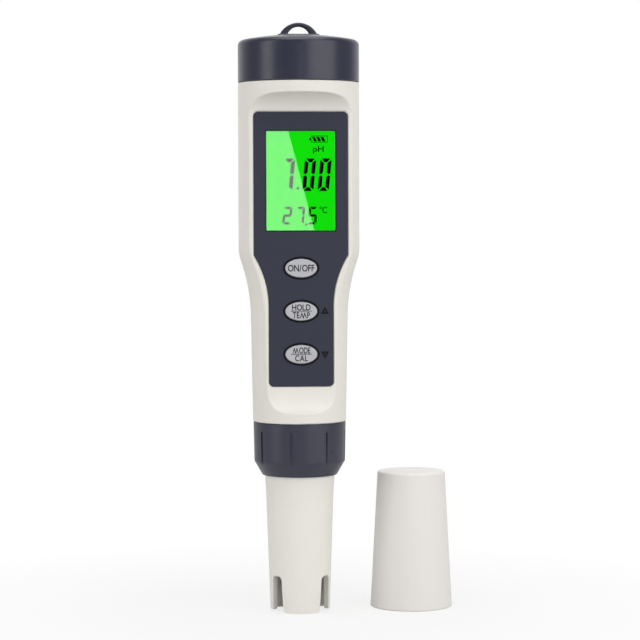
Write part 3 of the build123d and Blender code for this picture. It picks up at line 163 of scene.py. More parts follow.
@dataclass(frozen=True)
class Finish:
    """One real material and the way its surface was made.

    Attributes:
        name: Common name of the material and how it was made.
        colour: sRGB hex value of the surface.
        shade: sRGB hex value that the colour drifts to in patches.
        roughness: Middle roughness.
        ior: Index of refraction.
        metallic: 1 for a bare metal.
        grain: Kind of surface pattern.
        grain_mm: Size of the pattern's cells. Mould grain and ground lines are a few hundredths
            of a millimetre in truth, and are drawn coarser here so that they show.
        grain_depth_mm: Height of the pattern.
        drift_mm: Size of the colour patches.
        speck_mm: Size of the fine specks in the colour, coarser than the real pigment's.
        patch_share: Share of the patches in the colour's drift, with the specks as the rest.
        smear: How far the roughness wanders, from handling and flow marks.
        coat: Weight of a clear coat.
        gloss: Strength of the surface reflection, where 0.5 is that of the index alone.
    """

    name: str
    colour: str
    shade: str
    roughness: float
    ior: float = 1.5
    metallic: float = 0.0
    grain: Grain = Grain.SPARKED
    grain_mm: float = 0.35
    grain_depth_mm: float = 0.004
    drift_mm: float = 22.0
    speck_mm: float = 0.5
    patch_share: float = 0.8
    smear: float = 0.06
    coat: float = 0.0
    gloss: float = 0.5

    def height(self, tree: bpy.types.NodeTree, place: bpy.types.NodeSocket) -> bpy.types.NodeSocket:
        """Lay the height pattern of this finish's grain.

        Args:
            tree: Shader tree.
            place: Object coordinates, in metres.

        Returns:
            Height from 0 to 1.
        """
        fine = per_metre(self.grain_mm)
        if self.grain is Grain.CAST:
            pores = add_node(tree, "ShaderNodeTexVoronoi", {"Vector": place, "Scale": fine})
            return pores.outputs["Distance"]
        if self.grain is Grain.BRUSHED:
            stretch = {"Vector": place, "Scale": (fine, fine, fine / LINE_STRETCH)}
            drawn = add_node(tree, "ShaderNodeMapping", stretch)
            pattern = {"Vector": drawn.outputs[0], "Scale": 1.0, "Detail": 3.0}
        else:
            detail = 6.0 if self.grain is Grain.SPARKED else 1.0
            pattern = {"Vector": place, "Scale": fine, "Detail": detail}
        return add_node(tree, "ShaderNodeTexNoise", pattern).outputs["Fac"]

    def build(self) -> bpy.types.Material:
        """Make the material.

        Returns:
            A node material named for this finish.
        """
        material, tree, shader = new_material(self.name)
        place = add_node(tree, "ShaderNodeTexCoord").outputs["Object"]
        drift = add_node(
            tree,
            "ShaderNodeTexNoise",
            {"Vector": place, "Scale": per_metre(self.drift_mm), "Detail": 4.0, "Roughness": 0.6},
        )
        speck = add_node(
            tree,
            "ShaderNodeTexNoise",
            {"Vector": place, "Scale": per_metre(self.speck_mm), "Detail": 2.0},
        )
        patches = add_node(
            tree, "ShaderNodeMath", {0: drift.outputs["Fac"], 1: self.patch_share}, operation="MULTIPLY"
        )
        mottled = add_node(
            tree,
            "ShaderNodeMath",
            {0: speck.outputs["Fac"], 1: 1 - self.patch_share, 2: patches.outputs[0]},
            operation="MULTIPLY_ADD",
        )
        colour = add_node(
            tree,
            "ShaderNodeMix",
            {0: mottled.outputs[0], 6: linear(self.colour), 7: linear(self.shade)},
            data_type="RGBA",
        )
        smears = add_node(
            tree,
            "ShaderNodeTexNoise",
            {
                "Vector": place,
                "Scale": per_metre(self.drift_mm / SMEARS_PER_PATCH),
                "Detail": 5.0,
                "Distortion": 0.6,
            },
        )
        rough = add_node(
            tree,
            "ShaderNodeMapRange",
            {
                "Value": smears.outputs["Fac"],
                "From Min": NOISE_LOW,
                "From Max": NOISE_HIGH,
                "To Min": self.roughness - self.smear,
                "To Max": self.roughness + self.smear,
            },
        )
        bump = add_node(
            tree,
            "ShaderNodeBump",
            {
                "Height": self.height(tree, place),
                "Strength": 1.0,
                "Distance": self.grain_depth_mm * MM,
            },
        )
        tree.links.new(colour.outputs[2], shader.inputs["Base Color"])
        tree.links.new(rough.outputs[0], shader.inputs["Roughness"])
        tree.links.new(bump.outputs[0], shader.inputs["Normal"])
        shader.inputs["Metallic"].default_value = self.metallic
        if not self.metallic:
            shader.inputs["IOR"].default_value = self.ior
        shader.inputs["Specular IOR Level"].default_value = self.gloss
        shader.inputs["Coat Weight"].default_value = self.coat
        return material


@dataclass(frozen=True)
class ClearMoulding:
    """Clear plastic or glass, with faint polish marks in its gloss.

    Attributes:
        name: Common name of the material and how it was made.
        tint: sRGB hex value of what it lets through.
        ior: Index of refraction.
        roughness: Middle roughness.
        mark_mm: Size of the polish marks.
    """

    name: str
    tint: str
    ior: float
    roughness: float
    mark_mm: float = 3.0

    def build(self) -> bpy.types.Material:
        """Make the material.

        Returns:
            A node material named for this moulding.
        """
        material, tree, shader = new_material(self.name)
        place = add_node(tree, "ShaderNodeTexCoord").outputs["Object"]
        marks = add_node(
            tree,
            "ShaderNodeTexNoise",
            {"Vector": place, "Scale": per_metre(self.mark_mm), "Detail": 6.0},
        )
        rough = add_node(
            tree,
            "ShaderNodeMapRange",
            {"Value": marks.outputs["Fac"], "To Min": 0.0, "To Max": 2 * self.roughness},
        )
        tree.links.new(rough.outputs[0], shader.inputs["Roughness"])
        shader.inputs["Base Color"].default_value = linear(self.tint)
        shader.inputs["IOR"].default_value = self.ior
        shader.inputs["Transmission Weight"].default_value = 1.0
        return material


@dataclass(frozen=True)
class LitPanel:
    """Backlit display glass: a glow that drifts a little between two shades.

    Attributes:
        name: Common name of the material and how it works.
        glow: sRGB hex value of the light.
        dim_glow: sRGB hex value of the glow's weaker patches.
        strength: Brightness, where 1 shows the glow's own colour.
        cloud_mm: Size of the uneven patches in the glow.
        unlit: sRGB hex value of the glass itself.
    """

    name: str
    glow: str
    dim_glow: str
    strength: float
    cloud_mm: float = 14.0
    unlit: str = "#002700"

    def build(self) -> bpy.types.Material:
        """Make the material.

        Returns:
            A node material named for this panel.
        """
        material, tree, shader = new_material(self.name)
        place = add_node(tree, "ShaderNodeTexCoord").outputs["Object"]
        cloud = add_node(
            tree,
            "ShaderNodeTexNoise",
            {"Vector": place, "Scale": per_metre(self.cloud_mm), "Detail": 2.0},
        )
        glow = add_node(
            tree,
            "ShaderNodeMix",
            {0: cloud.outputs["Fac"], 6: linear(self.glow), 7: linear(self.dim_glow)},
            data_type="RGBA",
        )
        tree.links.new(glow.outputs[2], shader.inputs["Emission Color"])
        shader.inputs["Emission Strength"].default_value = self.strength
        shader.inputs["Base Color"].default_value = linear(self.unlit)
        shader.inputs["Roughness"].default_value = 0.5
        shader.inputs["Specular IOR Level"].default_value = 0.0
        return material


# Satin shells: the mould's fine grain softens every highlight and hides small dents.
CREAM_ABS = Finish("cream ABS, injection moulded", "#E6E3DC", "#E1DED6", 0.42)
IVORY_ABS = Finish("ivory ABS, injection moulded", "#E6E3DF", "#E1DEDA", 0.42)
# The guard's wall is thin and lets light in; that light is painted in, as a colour a shade paler than
# the housing's.
GUARD_ABS_PAINTED_PALER = Finish("cream ABS, injection moulded thin", "#EBE8E1", "#E6E3DB", 0.42)
# A smooth dark moulding that shows each lamp as a broad soft streak.
NAVY_ABS = Finish(
    "navy ABS, injection moulded",
    "#25273C",
    "#212338",
    0.3,
    grain_depth_mm=0.002,
    smear=0.03,
    gloss=0.7,
)
# Inner mouldings, plain and satin.
BLACK_ABS = Finish("black ABS, injection moulded", "#1A1B1D", "#202123", 0.45)
WHITE_ABS = Finish("white ABS, injection moulded", "#E2E2DE", "#D8D8D2", 0.45)
# Waxy and a little yellow, as undyed nylon is.
NYLON = Finish("natural nylon, injection moulded", "#DAD6C8", "#D0CBBB", 0.45)
# Printed film gives one even colour, with the slight waviness of laminated sheet.
PANEL_FILM = Finish(
    "navy polycarbonate film, screen printed",
    "#25293C",
    "#222639",
    0.42,
    grain=Grain.POLISHED,
    grain_mm=0.6,
    grain_depth_mm=0.0015,
    smear=0.03,
)
# Sprayed flakes give a pearly grey, dull from the front and brighter at a slant.
KEY_SILVER = Finish(
    "silver paint on ABS, sprayed",
    "#BFBFC4",
    "#B4B4B9",
    0.45,
    metallic=0.2,
    grain_mm=0.18,
    grain_depth_mm=0.003,
    drift_mm=2.5,
)
# Inks lie matt and nearly black, so that a print stays dark under the lamps; the black also paints the
# keys' gap shade.
BLACK_INK_AND_PAINTED_SHADE = Finish("black ink, screen printed, also painted shade", "#03040A", "#06070E", 0.5, gloss=0.2)
LEGEND_INK = Finish("dark grey ink, pad printed", "#050506", "#0A0A0C", 0.55, gloss=0.2)
# A driven segment blocks the backlight and mirrors nothing itself.
SEGMENT = Finish("liquid crystal, driven dark", "#000400", "#010601", 0.6, gloss=0.0)
# Rubbers and foam soak up light: the rubbers keep a dull sheen, and the foam shows open cells.
SILICONE = Finish("black silicone rubber, moulded", "#0E0F12", "#15161A", 0.6, grain_mm=0.25)
NITRILE = Finish("nitrile rubber, moulded", "#0C0C0D", "#151516", 0.5, grain_mm=0.2)
FOAM = Finish(
    "black foam tape, die cut",
    "#101012",
    "#1A1A1C",
    0.9,
    grain=Grain.CAST,
    grain_mm=0.2,
    grain_depth_mm=0.03,
)
# Lacquer over woven glass: glossy green with a faint ripple of the cloth.
SOLDER_MASK = Finish(
    "green solder mask on glass epoxy",
    "#0F5A2C",
    "#0B4722",
    0.3,
    drift_mm=3.0,
    grain_mm=0.8,
    coat=0.3,
)
# Chips and parts: matt, a little sandy black, and dull tan.
CHIP_EPOXY = Finish(
    "black epoxy, transfer moulded", "#111113", "#1A1A1C", 0.6, grain=Grain.CAST, grain_mm=0.15
)
CERAMIC_CHIP = Finish("tan ceramic, fired and tinned", "#A08A68", "#8C7656", 0.5, grain_mm=0.2)
# Bare metals: the lines of drawing, grinding or turning stretch each glint across them.
NICKEL = Finish(
    "nickel-plated steel, drawn",
    "#C6C4BE",
    "#B7B4AD",
    0.28,
    metallic=1.0,
    grain=Grain.BRUSHED,
    grain_mm=0.12,
    grain_depth_mm=0.002,
)
STAINLESS = Finish(
    "stainless steel, ground",
    "#BDBBB6",
    "#ABA9A4",
    0.32,
    metallic=1.0,
    grain=Grain.BRUSHED,
    grain_mm=0.1,
    grain_depth_mm=0.002,
)
GOLD = Finish(
    "gold-flashed brass, turned",
    "#D9B25A",
    "#C99F47",
    0.25,
    metallic=1.0,
    grain=Grain.BRUSHED,
    grain_mm=0.1,
    grain_depth_mm=0.001,
)
# Sensor parts: soft dark grey graphite, silver dulled by its chloride, chalky ceramic.
GRAPHITE = Finish(
    "graphite rod, ground", "#2A2A2C", "#353537", 0.5, grain=Grain.BRUSHED, grain_mm=0.15
)
SILVER_WIRE = Finish(
    "silver wire, chlorided",
    "#8E8984",
    "#6F6A66",
    0.55,
    metallic=0.8,
    grain=Grain.CAST,
    grain_mm=0.2,
)
FRIT = Finish(
    "porous ceramic, fired",
    "#E6E1D3",
    "#D6D0C0",
    0.8,
    grain=Grain.CAST,
    grain_mm=0.3,
    grain_depth_mm=0.02,
)
# Poured resin: honey grey and glossy, with shallow sinks where it set.
POTTING = Finish(
    "epoxy potting, cast",
    "#B9B08F",
    "#A79E7E",
    0.3,
    grain=Grain.CAST,
    grain_mm=2.5,
    grain_depth_mm=0.03,
)
# A strong red with a soft sheen along each lead.
PVC = Finish("red PVC insulation, extruded", "#A3221C", "#8C1D18", 0.4)
# Lamp parts: creamy white bodies, and a light guide of even green.
LED_PLASTIC = Finish("white LED package, moulded", "#E8E8DA", "#DADACA", 0.4)
BACKLIGHT = Finish("green-tinted acrylic light guide, moulded", "#4FCB52", "#45BF49", 0.3)
# Clear parts: a window that adds only its reflection, and glass a little drawn by the blowing.
CLEAR_LENS = ClearMoulding("clear acrylic, injection moulded", "#FFFFFF", 1.49, 0.0)
BULB_GLASS = ClearMoulding("pH glass, blown", "#F2F5EC", 1.52, 0.02)
# The lit display: a bright flat green that the digits stand out from.
GREEN_GLOW = LitPanel("display glass, green backlit", "#14E60E", "#12E20C", 1.0)

Look = Union[Finish, ClearMoulding, LitPanel]


@cache
def made(finish: Look) -> bpy.types.Material:
    """Build a finish once and hand back the same material each time."""
    return finish.build()


def dress(finish: Look, *nodes: str) -> None:
    """Give CAD nodes a finish in their one slot, and report them.

    Args:
        finish: What they are made of.
        *nodes: Names of the nodes.
    """
    for node in nodes:
        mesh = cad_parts[node].data
        mesh.materials.clear()
        mesh.materials.append(made(finish))
        LOG.info("%s: %s", node, finish.name)


# ---------------------------------------------------------------------------
# Thin plates that lie on a surface facing the front
# ---------------------------------------------------------------------------
INK_THICKNESS = 0.02
STROKE_GAIN = 0.014  # how much bolder than the plain font, as a share of its size
LETTER_GAP = 0.07  # between two letters, as a share of the font's size
LETTER_DEPTH = 0.5  # of a letter before it is pressed to the ink's thickness
METER = "meter"  # body of everything that doesn't move


def flat_plates(name: str, outlines: Sequence[Outline], front: float) -> bpy.types.Object:
    """Make one piece of plates as thin as ink that face -Y.

    Args:
        name: Piece name.
        outlines: Corners (x, z) of each plate, in mm.
        front: Y of the plates' front faces, in mm.

    Returns:
        The piece, at the origin.
    """
    builder = bmesh.new()
    back = front + INK_THICKNESS
    for outline in outlines:
        near = [builder.verts.new((x * MM, front * MM, z * MM)) for x, z in outline]
        far = [builder.verts.new((x * MM, back * MM, z * MM)) for x, z in outline]
        builder.faces.new(near)
        builder.faces.new(reversed(far))
        for i, corner in enumerate(near):
            builder.faces.new((corner, near[i - 1], far[i - 1], far[i]))
    return new_mesh_object(name, builder)


def ring_plate(name: str, outer: Outline, inner: Outline, front: float) -> bpy.types.Object:
    """Make a ring as thin as ink that faces -Y.

    Args:
        name: Piece name.
        outer: Corners (x, z) of its outside, in mm.
        inner: Corners of its inside, as many as outside.
        front: Y of the ring's front face, in mm.

    Returns:
        The piece, at the origin.
    """
    builder = bmesh.new()
    loops = [
        [builder.verts.new((x * MM, y * MM, z * MM)) for x, z in outline]
        for outline in (outer, inner)
        for y in (front, front + INK_THICKNESS)
    ]
    outer_near, outer_far, inner_near, inner_far = loops
    for one, other in (
        (outer_near, inner_near),
        (outer_far, inner_far),
        (outer_near, outer_far),
        (inner_near, inner_far),
    ):
        for i in range(len(outer)):
            builder.faces.new((one[i], one[i - 1], other[i - 1], other[i]))
    return new_mesh_object(name, builder)


@dataclass(frozen=True)
class Print:
    """Words that face -Y, printed to an exact size.

    Attributes:
        name: Piece name.
        words: What is printed.
        middle: Middle of the words to the right of where they are placed.
        base: Bottom of the letters above where they are placed.
        width: Width of the words.
        height: Height of the letters.
    """

    name: str
    words: str
    middle: float
    base: float
    width: float
    height: float

    def build(self, x: float, z: float, front: float) -> bpy.types.Object:
        """Lay the letters side by side and press them to their size.

        Args:
            x: Where the words are placed, in mm.
            z: Height at which they are placed, in mm.
            front: Y of the print's face, in mm.

        Returns:
            The piece as a mesh, at the origin.
        """
        builder = bmesh.new()
        pen = 0.0
        for letter in self.words:
            # An M's outline breaks when it is made bold, so a W is turned round for it.
            turned = letter == "M"
            curve = bpy.data.curves.new(self.name, "FONT")
            curve.body = "W" if turned else letter
            curve.resolution_u = 4
            curve.offset = STROKE_GAIN
            curve.extrude = LETTER_DEPTH
            draft = bpy.data.objects.new(self.name, curve)
            bpy.context.scene.collection.objects.link(draft)
            graph = bpy.context.evaluated_depsgraph_get()
            mesh = bpy.data.meshes.new_from_object(draft.evaluated_get(graph))
            bpy.data.objects.remove(draft)
            bpy.data.curves.remove(curve)
            known = len(builder.verts)
            builder.from_mesh(mesh)
            bpy.data.meshes.remove(mesh)
            fresh = list(builder.verts)[known:]
            left, right = min(v.co.x for v in fresh), max(v.co.x for v in fresh)
            foot, top = min(v.co.y for v in fresh), max(v.co.y for v in fresh)
            for vertex in fresh:
                if turned:
                    vertex.co.x, vertex.co.y = left + right - vertex.co.x, foot + top - vertex.co.y
                vertex.co.x += pen - left
            pen += right - left + LETTER_GAP
        low = Vector([min(v.co[i] for v in builder.verts) for i in range(3)])
        high = Vector([max(v.co[i] for v in builder.verts) for i in range(3)])
        for vertex in builder.verts:
            across, up, out = ((vertex.co[i] - low[i]) / (high[i] - low[i]) for i in range(3))
            vertex.co = (
                (x + self.middle + (across - 0.5) * self.width) * MM,
                (front + INK_THICKNESS * (1 - out)) * MM,
                (z + self.base + up * self.height) * MM,
            )
        bmesh.ops.remove_doubles(builder, verts=builder.verts, dist=WELD)
        return new_mesh_object(self.name, builder)


def finish_piece(piece: bpy.types.Object, finish: Look, body: str) -> None:
    """Give a new piece its finish and its place in the model, and report it.

    Args:
        piece: The new piece.
        finish: What it is made of.
        body: Body that it rides on.
    """
    piece.data.materials.clear()
    piece.data.materials.append(made(finish))
    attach(piece, body)
    LOG.info("%s: %s, on %s", piece.name, finish.name, body)


# ---------------------------------------------------------------------------
# Display
# ---------------------------------------------------------------------------
class Segment(Enum):
    """The seven strokes of a display digit."""

    TOP = "top"
    UPPER_LEFT = "upper left"
    UPPER_RIGHT = "upper right"
    MIDDLE = "middle"
    LOWER_LEFT = "lower left"
    LOWER_RIGHT = "lower right"
    BOTTOM = "bottom"


LIT = {
    "0": (
        Segment.TOP,
        Segment.UPPER_LEFT,
        Segment.UPPER_RIGHT,
        Segment.LOWER_LEFT,
        Segment.LOWER_RIGHT,
        Segment.BOTTOM,
    ),
    "2": (Segment.TOP, Segment.UPPER_RIGHT, Segment.MIDDLE, Segment.LOWER_LEFT, Segment.BOTTOM),
    "5": (Segment.TOP, Segment.UPPER_LEFT, Segment.MIDDLE, Segment.LOWER_RIGHT, Segment.BOTTOM),
    "7": (Segment.TOP, Segment.UPPER_RIGHT, Segment.LOWER_RIGHT),
}


@dataclass(frozen=True)
class Reading:
    """A row of seven-segment digits, placed from the window's middle.

    Attributes:
        digits: Characters and the middle of each, across the display.
        base: Bottom of the digits.
        width: Width of a digit before it leans.
        height: Height of a digit.
        stroke: Width of a segment.
        gap: Gap between two segments.
        point: Middle (x, z) of the decimal point.
        point_size: Side of the decimal point.
        lean: Slant of the digits, in degrees.
    """

    digits: tuple[tuple[str, float], ...]
    base: float
    width: float
    height: float
    stroke: float
    gap: float
    point: tuple[float, float]
    point_size: float
    lean: float = 5.5

    def stroke_outline(self, segment: Segment) -> Outline:
        """Give the corners of one segment.

        Args:
            segment: Which of the seven.

        Returns:
            Corners (x, z) in mm, with the digit's middle at the origin.
        """
        half, tall, stroke, gap = self.width / 2, self.height / 2, self.stroke, self.gap / 2
        if segment is Segment.MIDDLE:
            reach = half - gap
            return [
                (-reach, 0),
                (-reach + stroke / 2, stroke / 2),
                (reach - stroke / 2, stroke / 2),
                (reach, 0),
                (reach - stroke / 2, -stroke / 2),
                (-reach + stroke / 2, -stroke / 2),
            ]
        if segment in (Segment.TOP, Segment.BOTTOM):
            up = 1 if segment is Segment.TOP else -1
            reach = half - gap - stroke / 4
            inner = half - gap - stroke
            rows = [(-reach, tall), (reach, tall), (inner, tall - stroke), (-inner, tall - stroke)]
            return [(x, up * z) for x, z in rows]
        side = -1 if segment in (Segment.UPPER_LEFT, Segment.LOWER_LEFT) else 1
        up = 1 if segment in (Segment.UPPER_LEFT, Segment.UPPER_RIGHT) else -1
        rows = [
            (half, tall - gap - stroke / 4),
            (half, gap + stroke / 4),
            (half - stroke / 2, gap),
            (half - stroke, gap + stroke / 2),
            (half - stroke, tall - stroke - gap),
        ]
        return [(side * x, up * z) for x, z in rows]

    def outlines(self, middle_z: float) -> list[Outline]:
        """Give every lit stroke and the decimal point, leaning.

        Args:
            middle_z: Height of the window's middle, in mm.

        Returns:
            Outlines (x, z) in mm, in the meter's own frame.
        """
        slope = math.tan(math.radians(self.lean))
        centre = self.base + self.height / 2
        strokes = [
            [(middle + x + slope * z, middle_z + centre + z) for x, z in self.stroke_outline(segment)]
            for digit, middle in self.digits
            for segment in LIT[digit]
        ]
        half = self.point_size / 2
        x, z = self.point[0], middle_z + self.point[1]
        return strokes + [rectangle(x - half, z - half, x + half, z + half)]


@dataclass
class Display:
    """Liquid-crystal display behind its clear window: the glow, the digits and the small signs."""

    upper: Reading = Reading(
        digits=(("7", -3.85), ("0", 2.75), ("0", 7.6)),
        base=-3.2,
        width=3.55,
        height=10.2,
        stroke=1.2,
        gap=0.26,
        point=(-0.8, -2.3),
        point_size=0.75,
    )
    lower: Reading = Reading(
        digits=(("2", -4.15), ("7", -0.15), ("5", 3.8)),
        base=-13.6,
        width=2.75,
        height=5.5,
        stroke=0.74,
        gap=0.2,
        point=(1.75, -13.7),
        point_size=0.6,
    )
    signs: tuple[Print, ...] = (
        Print("ph_sign", "pH", middle=5.65, base=8.5, width=3.4, height=2.4),
        Print("degree_sign", "°C", middle=7.15, base=-10.2, width=2.3, height=2.2),
    )
    gauge_left: float = 3.3  # battery gauge
    gauge_base: float = 12.0
    gauge_width: float = 5.3
    gauge_height: float = 2.1
    gauge_line: float = 0.16
    gauge_nub: float = 0.45
    gauge_bars: int = 3
    bar_width: float = 0.95
    bar_lean: float = 0.7
    border: float = 0.3  # dark line printed round the window
    border_play: float = 0.1  # from the edge of the opening to the line
    window_ledge: float = 0.7  # how far the lens reaches behind the panel
    clearance: float = 0.01  # between the glass and what lies on it

    def __post_init__(self) -> None:
        """Read where the glass, the window and the panel stand."""
        glass_low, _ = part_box("lcd_front_glass")
        self.glass_front = glass_low.y / MM
        panel_low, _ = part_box("front_panel")
        self.panel_front = panel_low.y / MM
        low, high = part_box("display_window")
        self.window_low, self.window_high = low / MM, high / MM
        self.middle_z = (self.window_low.z + self.window_high.z) / 2
        self.sign_front = self.glass_front - self.clearance - INK_THICKNESS

    def on_glass(self, piece: bpy.types.Object) -> None:
        """Darken a piece that lies on the display glass."""
        finish_piece(piece, SEGMENT, METER)

    def gauge(self) -> None:
        """Make the battery gauge: a case in outline, its nub, and slanted bars."""
        left, base = self.gauge_left, self.middle_z + self.gauge_base
        right, top = left + self.gauge_width, base + self.gauge_height
        line, third, inset = self.gauge_line, self.gauge_height / 3, 2 * self.gauge_line
        outer = rectangle(left, base, right, top)
        inner = rectangle(left + line, base + line, right - line, top - line)
        self.on_glass(ring_plate("gauge_case", outer, inner, self.sign_front))
        plates = [
            [
                (left, base + third),
                (left, top - third),
                (left - self.gauge_nub, top - third),
                (left - self.gauge_nub, base + third),
            ]
        ]
        pitch = (self.gauge_width - 2 * inset - self.bar_lean) / self.gauge_bars
        for number in range(self.gauge_bars):
            x = left + inset + self.bar_lean + number * pitch
            plates.append(
                [
                    (x, base + inset),
                    (x + self.bar_width, base + inset),
                    (x + self.bar_width - self.bar_lean, top - inset),
                    (x - self.bar_lean, top - inset),
                ]
            )
        self.on_glass(flat_plates("gauge_bars", plates, self.sign_front))

    def window_border(self) -> None:
        """Print the dark line round the window, on the panel's face."""
        left, right = self.window_low.x + self.window_ledge, self.window_high.x - self.window_ledge
        base, top = self.window_low.z + self.window_ledge, self.window_high.z - self.window_ledge
        inner, outer = (
            rectangle(left - out, base - out, right + out, top + out)
            for out in (self.border_play, self.border)
        )
        ring = ring_plate("window_border", outer, inner, self.panel_front - INK_THICKNESS)
        finish_piece(ring, BLACK_INK_AND_PAINTED_SHADE, METER)

    def build(self) -> None:
        """Make the signs and dress the stack behind the window."""
        dress(CLEAR_LENS, "display_window")
        dress(GREEN_GLOW, "lcd_front_glass")
        dress(BACKLIGHT, "lcd_rear_glass", "backlight_panel")
        dress(LED_PLASTIC, "backlight_leds")
        dress(SILICONE, "zebra_strip")
        dress(BLACK_ABS, "lcd_frame")
        dress(FOAM, "window_seal")
        for name, reading in (("upper_reading", self.upper), ("lower_reading", self.lower)):
            self.on_glass(flat_plates(name, reading.outlines(self.middle_z), self.sign_front))
        for sign in self.signs:
            self.on_glass(sign.build(0.0, self.middle_z, self.sign_front))
        self.gauge()
        self.window_border()


# ---------------------------------------------------------------------------
# Keys and their prints
# ---------------------------------------------------------------------------
def tree_input(tree: bpy.types.NodeTree, name: str, kind: str, default: float) -> str:
    """Add a named input to a geometry tree.

    Args:
        tree: Geometry tree.
        name: Name of the input.
        kind: Blender's identifier of the socket type.
        default: Value that it starts with.

    Returns:
        Identifier by which a modifier sets it.
    """
    socket = tree.interface.new_socket(name, in_out="INPUT", socket_type=kind)
    socket.default_value = default
    return socket.identifier


def grown(name: str, tree: bpy.types.NodeTree, values: dict[str, float]) -> bpy.types.Object:
    """Run a geometry tree with these inputs and keep its result as a plain mesh.

    Args:
        name: Piece name.
        tree: Geometry tree that needs no incoming mesh.
        values: Socket identifier to value.

    Returns:
        The piece, at the origin, with no modifier left on it.
    """
    seed = bpy.data.objects.new(name + "_seed", bpy.data.meshes.new(name + "_seed"))
    bpy.context.scene.collection.objects.link(seed)
    modifier = seed.modifiers.new("grow", "NODES")
    modifier.node_group = tree
    for identifier, value in values.items():
        modifier[identifier] = value
    seed.update_tag()
    graph = bpy.context.evaluated_depsgraph_get()
    mesh = bpy.data.meshes.new_from_object(seed.evaluated_get(graph))
    seed.modifiers.remove(modifier)
    bpy.data.objects.remove(seed)
    builder = bmesh.new()
    builder.from_mesh(mesh)
    bmesh.ops.remove_doubles(builder, verts=builder.verts, dist=WELD)
    bpy.data.meshes.remove(mesh)
    return new_mesh_object(name, builder)


def ring_row_tree(finish: Finish) -> tuple[bpy.types.NodeTree, dict[str, str]]:
    """Build the tree of oval rings in an even column, all facing -Y.

    Args:
        finish: What the rings are made of.

    Returns:
        The tree, and the identifier of each of its named inputs.
    """
    tree = bpy.data.node_groups.new("oval rings in a column", "GeometryNodeTree")
    sizes = ("Half Width", "Half Height", "Band", "Thickness", "Front", "Low", "Pitch")
    names = {size: tree_input(tree, size, "NodeSocketFloat", 1.0) for size in sizes}
    names["Count"] = tree_input(tree, "Count", "NodeSocketInt", 3)
    tree.interface.new_socket("Geometry", in_out="OUTPUT", socket_type="NodeSocketGeometry")
    given = add_node(tree, "NodeGroupInput").outputs
    circle = add_node(tree, "GeometryNodeCurvePrimitiveCircle", {"Resolution": 64, "Radius": 1.0})
    ovals = []
    for band in (0.0, 1.0):
        radii = [
            add_node(
                tree,
                "ShaderNodeMath",
                {0: given["Band"], 1: band, 2: given[half]},
                operation="MULTIPLY_ADD",
            ).outputs[0]
            for half in ("Half Width", "Half Height")
        ]
        size = add_node(tree, "ShaderNodeCombineXYZ", {"X": radii[0], "Y": radii[1], "Z": 1.0})
        ovals.append(
            add_node(
                tree,
                "GeometryNodeTransform",
                {"Geometry": circle.outputs[0], "Scale": size.outputs[0]},
            ).outputs[0]
        )
    joined = add_node(tree, "GeometryNodeJoinGeometry")
    for oval in ovals:
        tree.links.new(oval, joined.inputs[0])
    band_face = add_node(
        tree, "GeometryNodeFillCurve", {"Curve": joined.outputs[0]}, mode="TRIANGLES"
    )
    upright = add_node(
        tree,
        "GeometryNodeTransform",
        {"Geometry": band_face.outputs[0], "Rotation": (math.radians(90), 0, 0)},
    )
    start = add_node(tree, "ShaderNodeCombineXYZ", {"Y": given["Front"], "Z": given["Low"]})
    step = add_node(tree, "ShaderNodeCombineXYZ", {"Z": given["Pitch"]})
    places = add_node(
        tree,
        "GeometryNodeMeshLine",
        {"Count": given["Count"], "Start Location": start.outputs[0], "Offset": step.outputs[0]},
    )
    rings = add_node(
        tree,
        "GeometryNodeInstanceOnPoints",
        {"Points": places.outputs[0], "Instance": upright.outputs[0]},
    )
    real = add_node(tree, "GeometryNodeRealizeInstances", {"Geometry": rings.outputs[0]})
    inked = add_node(
        tree, "GeometryNodeSetMaterial", {"Geometry": real.outputs[0], "Material": made(finish)}
    )
    out = add_node(tree, "NodeGroupOutput")
    tree.links.new(inked.outputs[0], out.inputs[0])
    return tree, names


@dataclass(frozen=True)
class Legend:
    """Words printed on a key.

    Attributes:
        key: Key that they are on.
        words: Lines of print, from the top.
        widths: Width of each line, in mm.
        bases: Bottom of each line above the key's middle, in mm.
        height: Height of the letters, in mm.
    """

    key: str
    words: tuple[str, ...]
    widths: tuple[float, ...]
    bases: tuple[float, ...]
    height: float


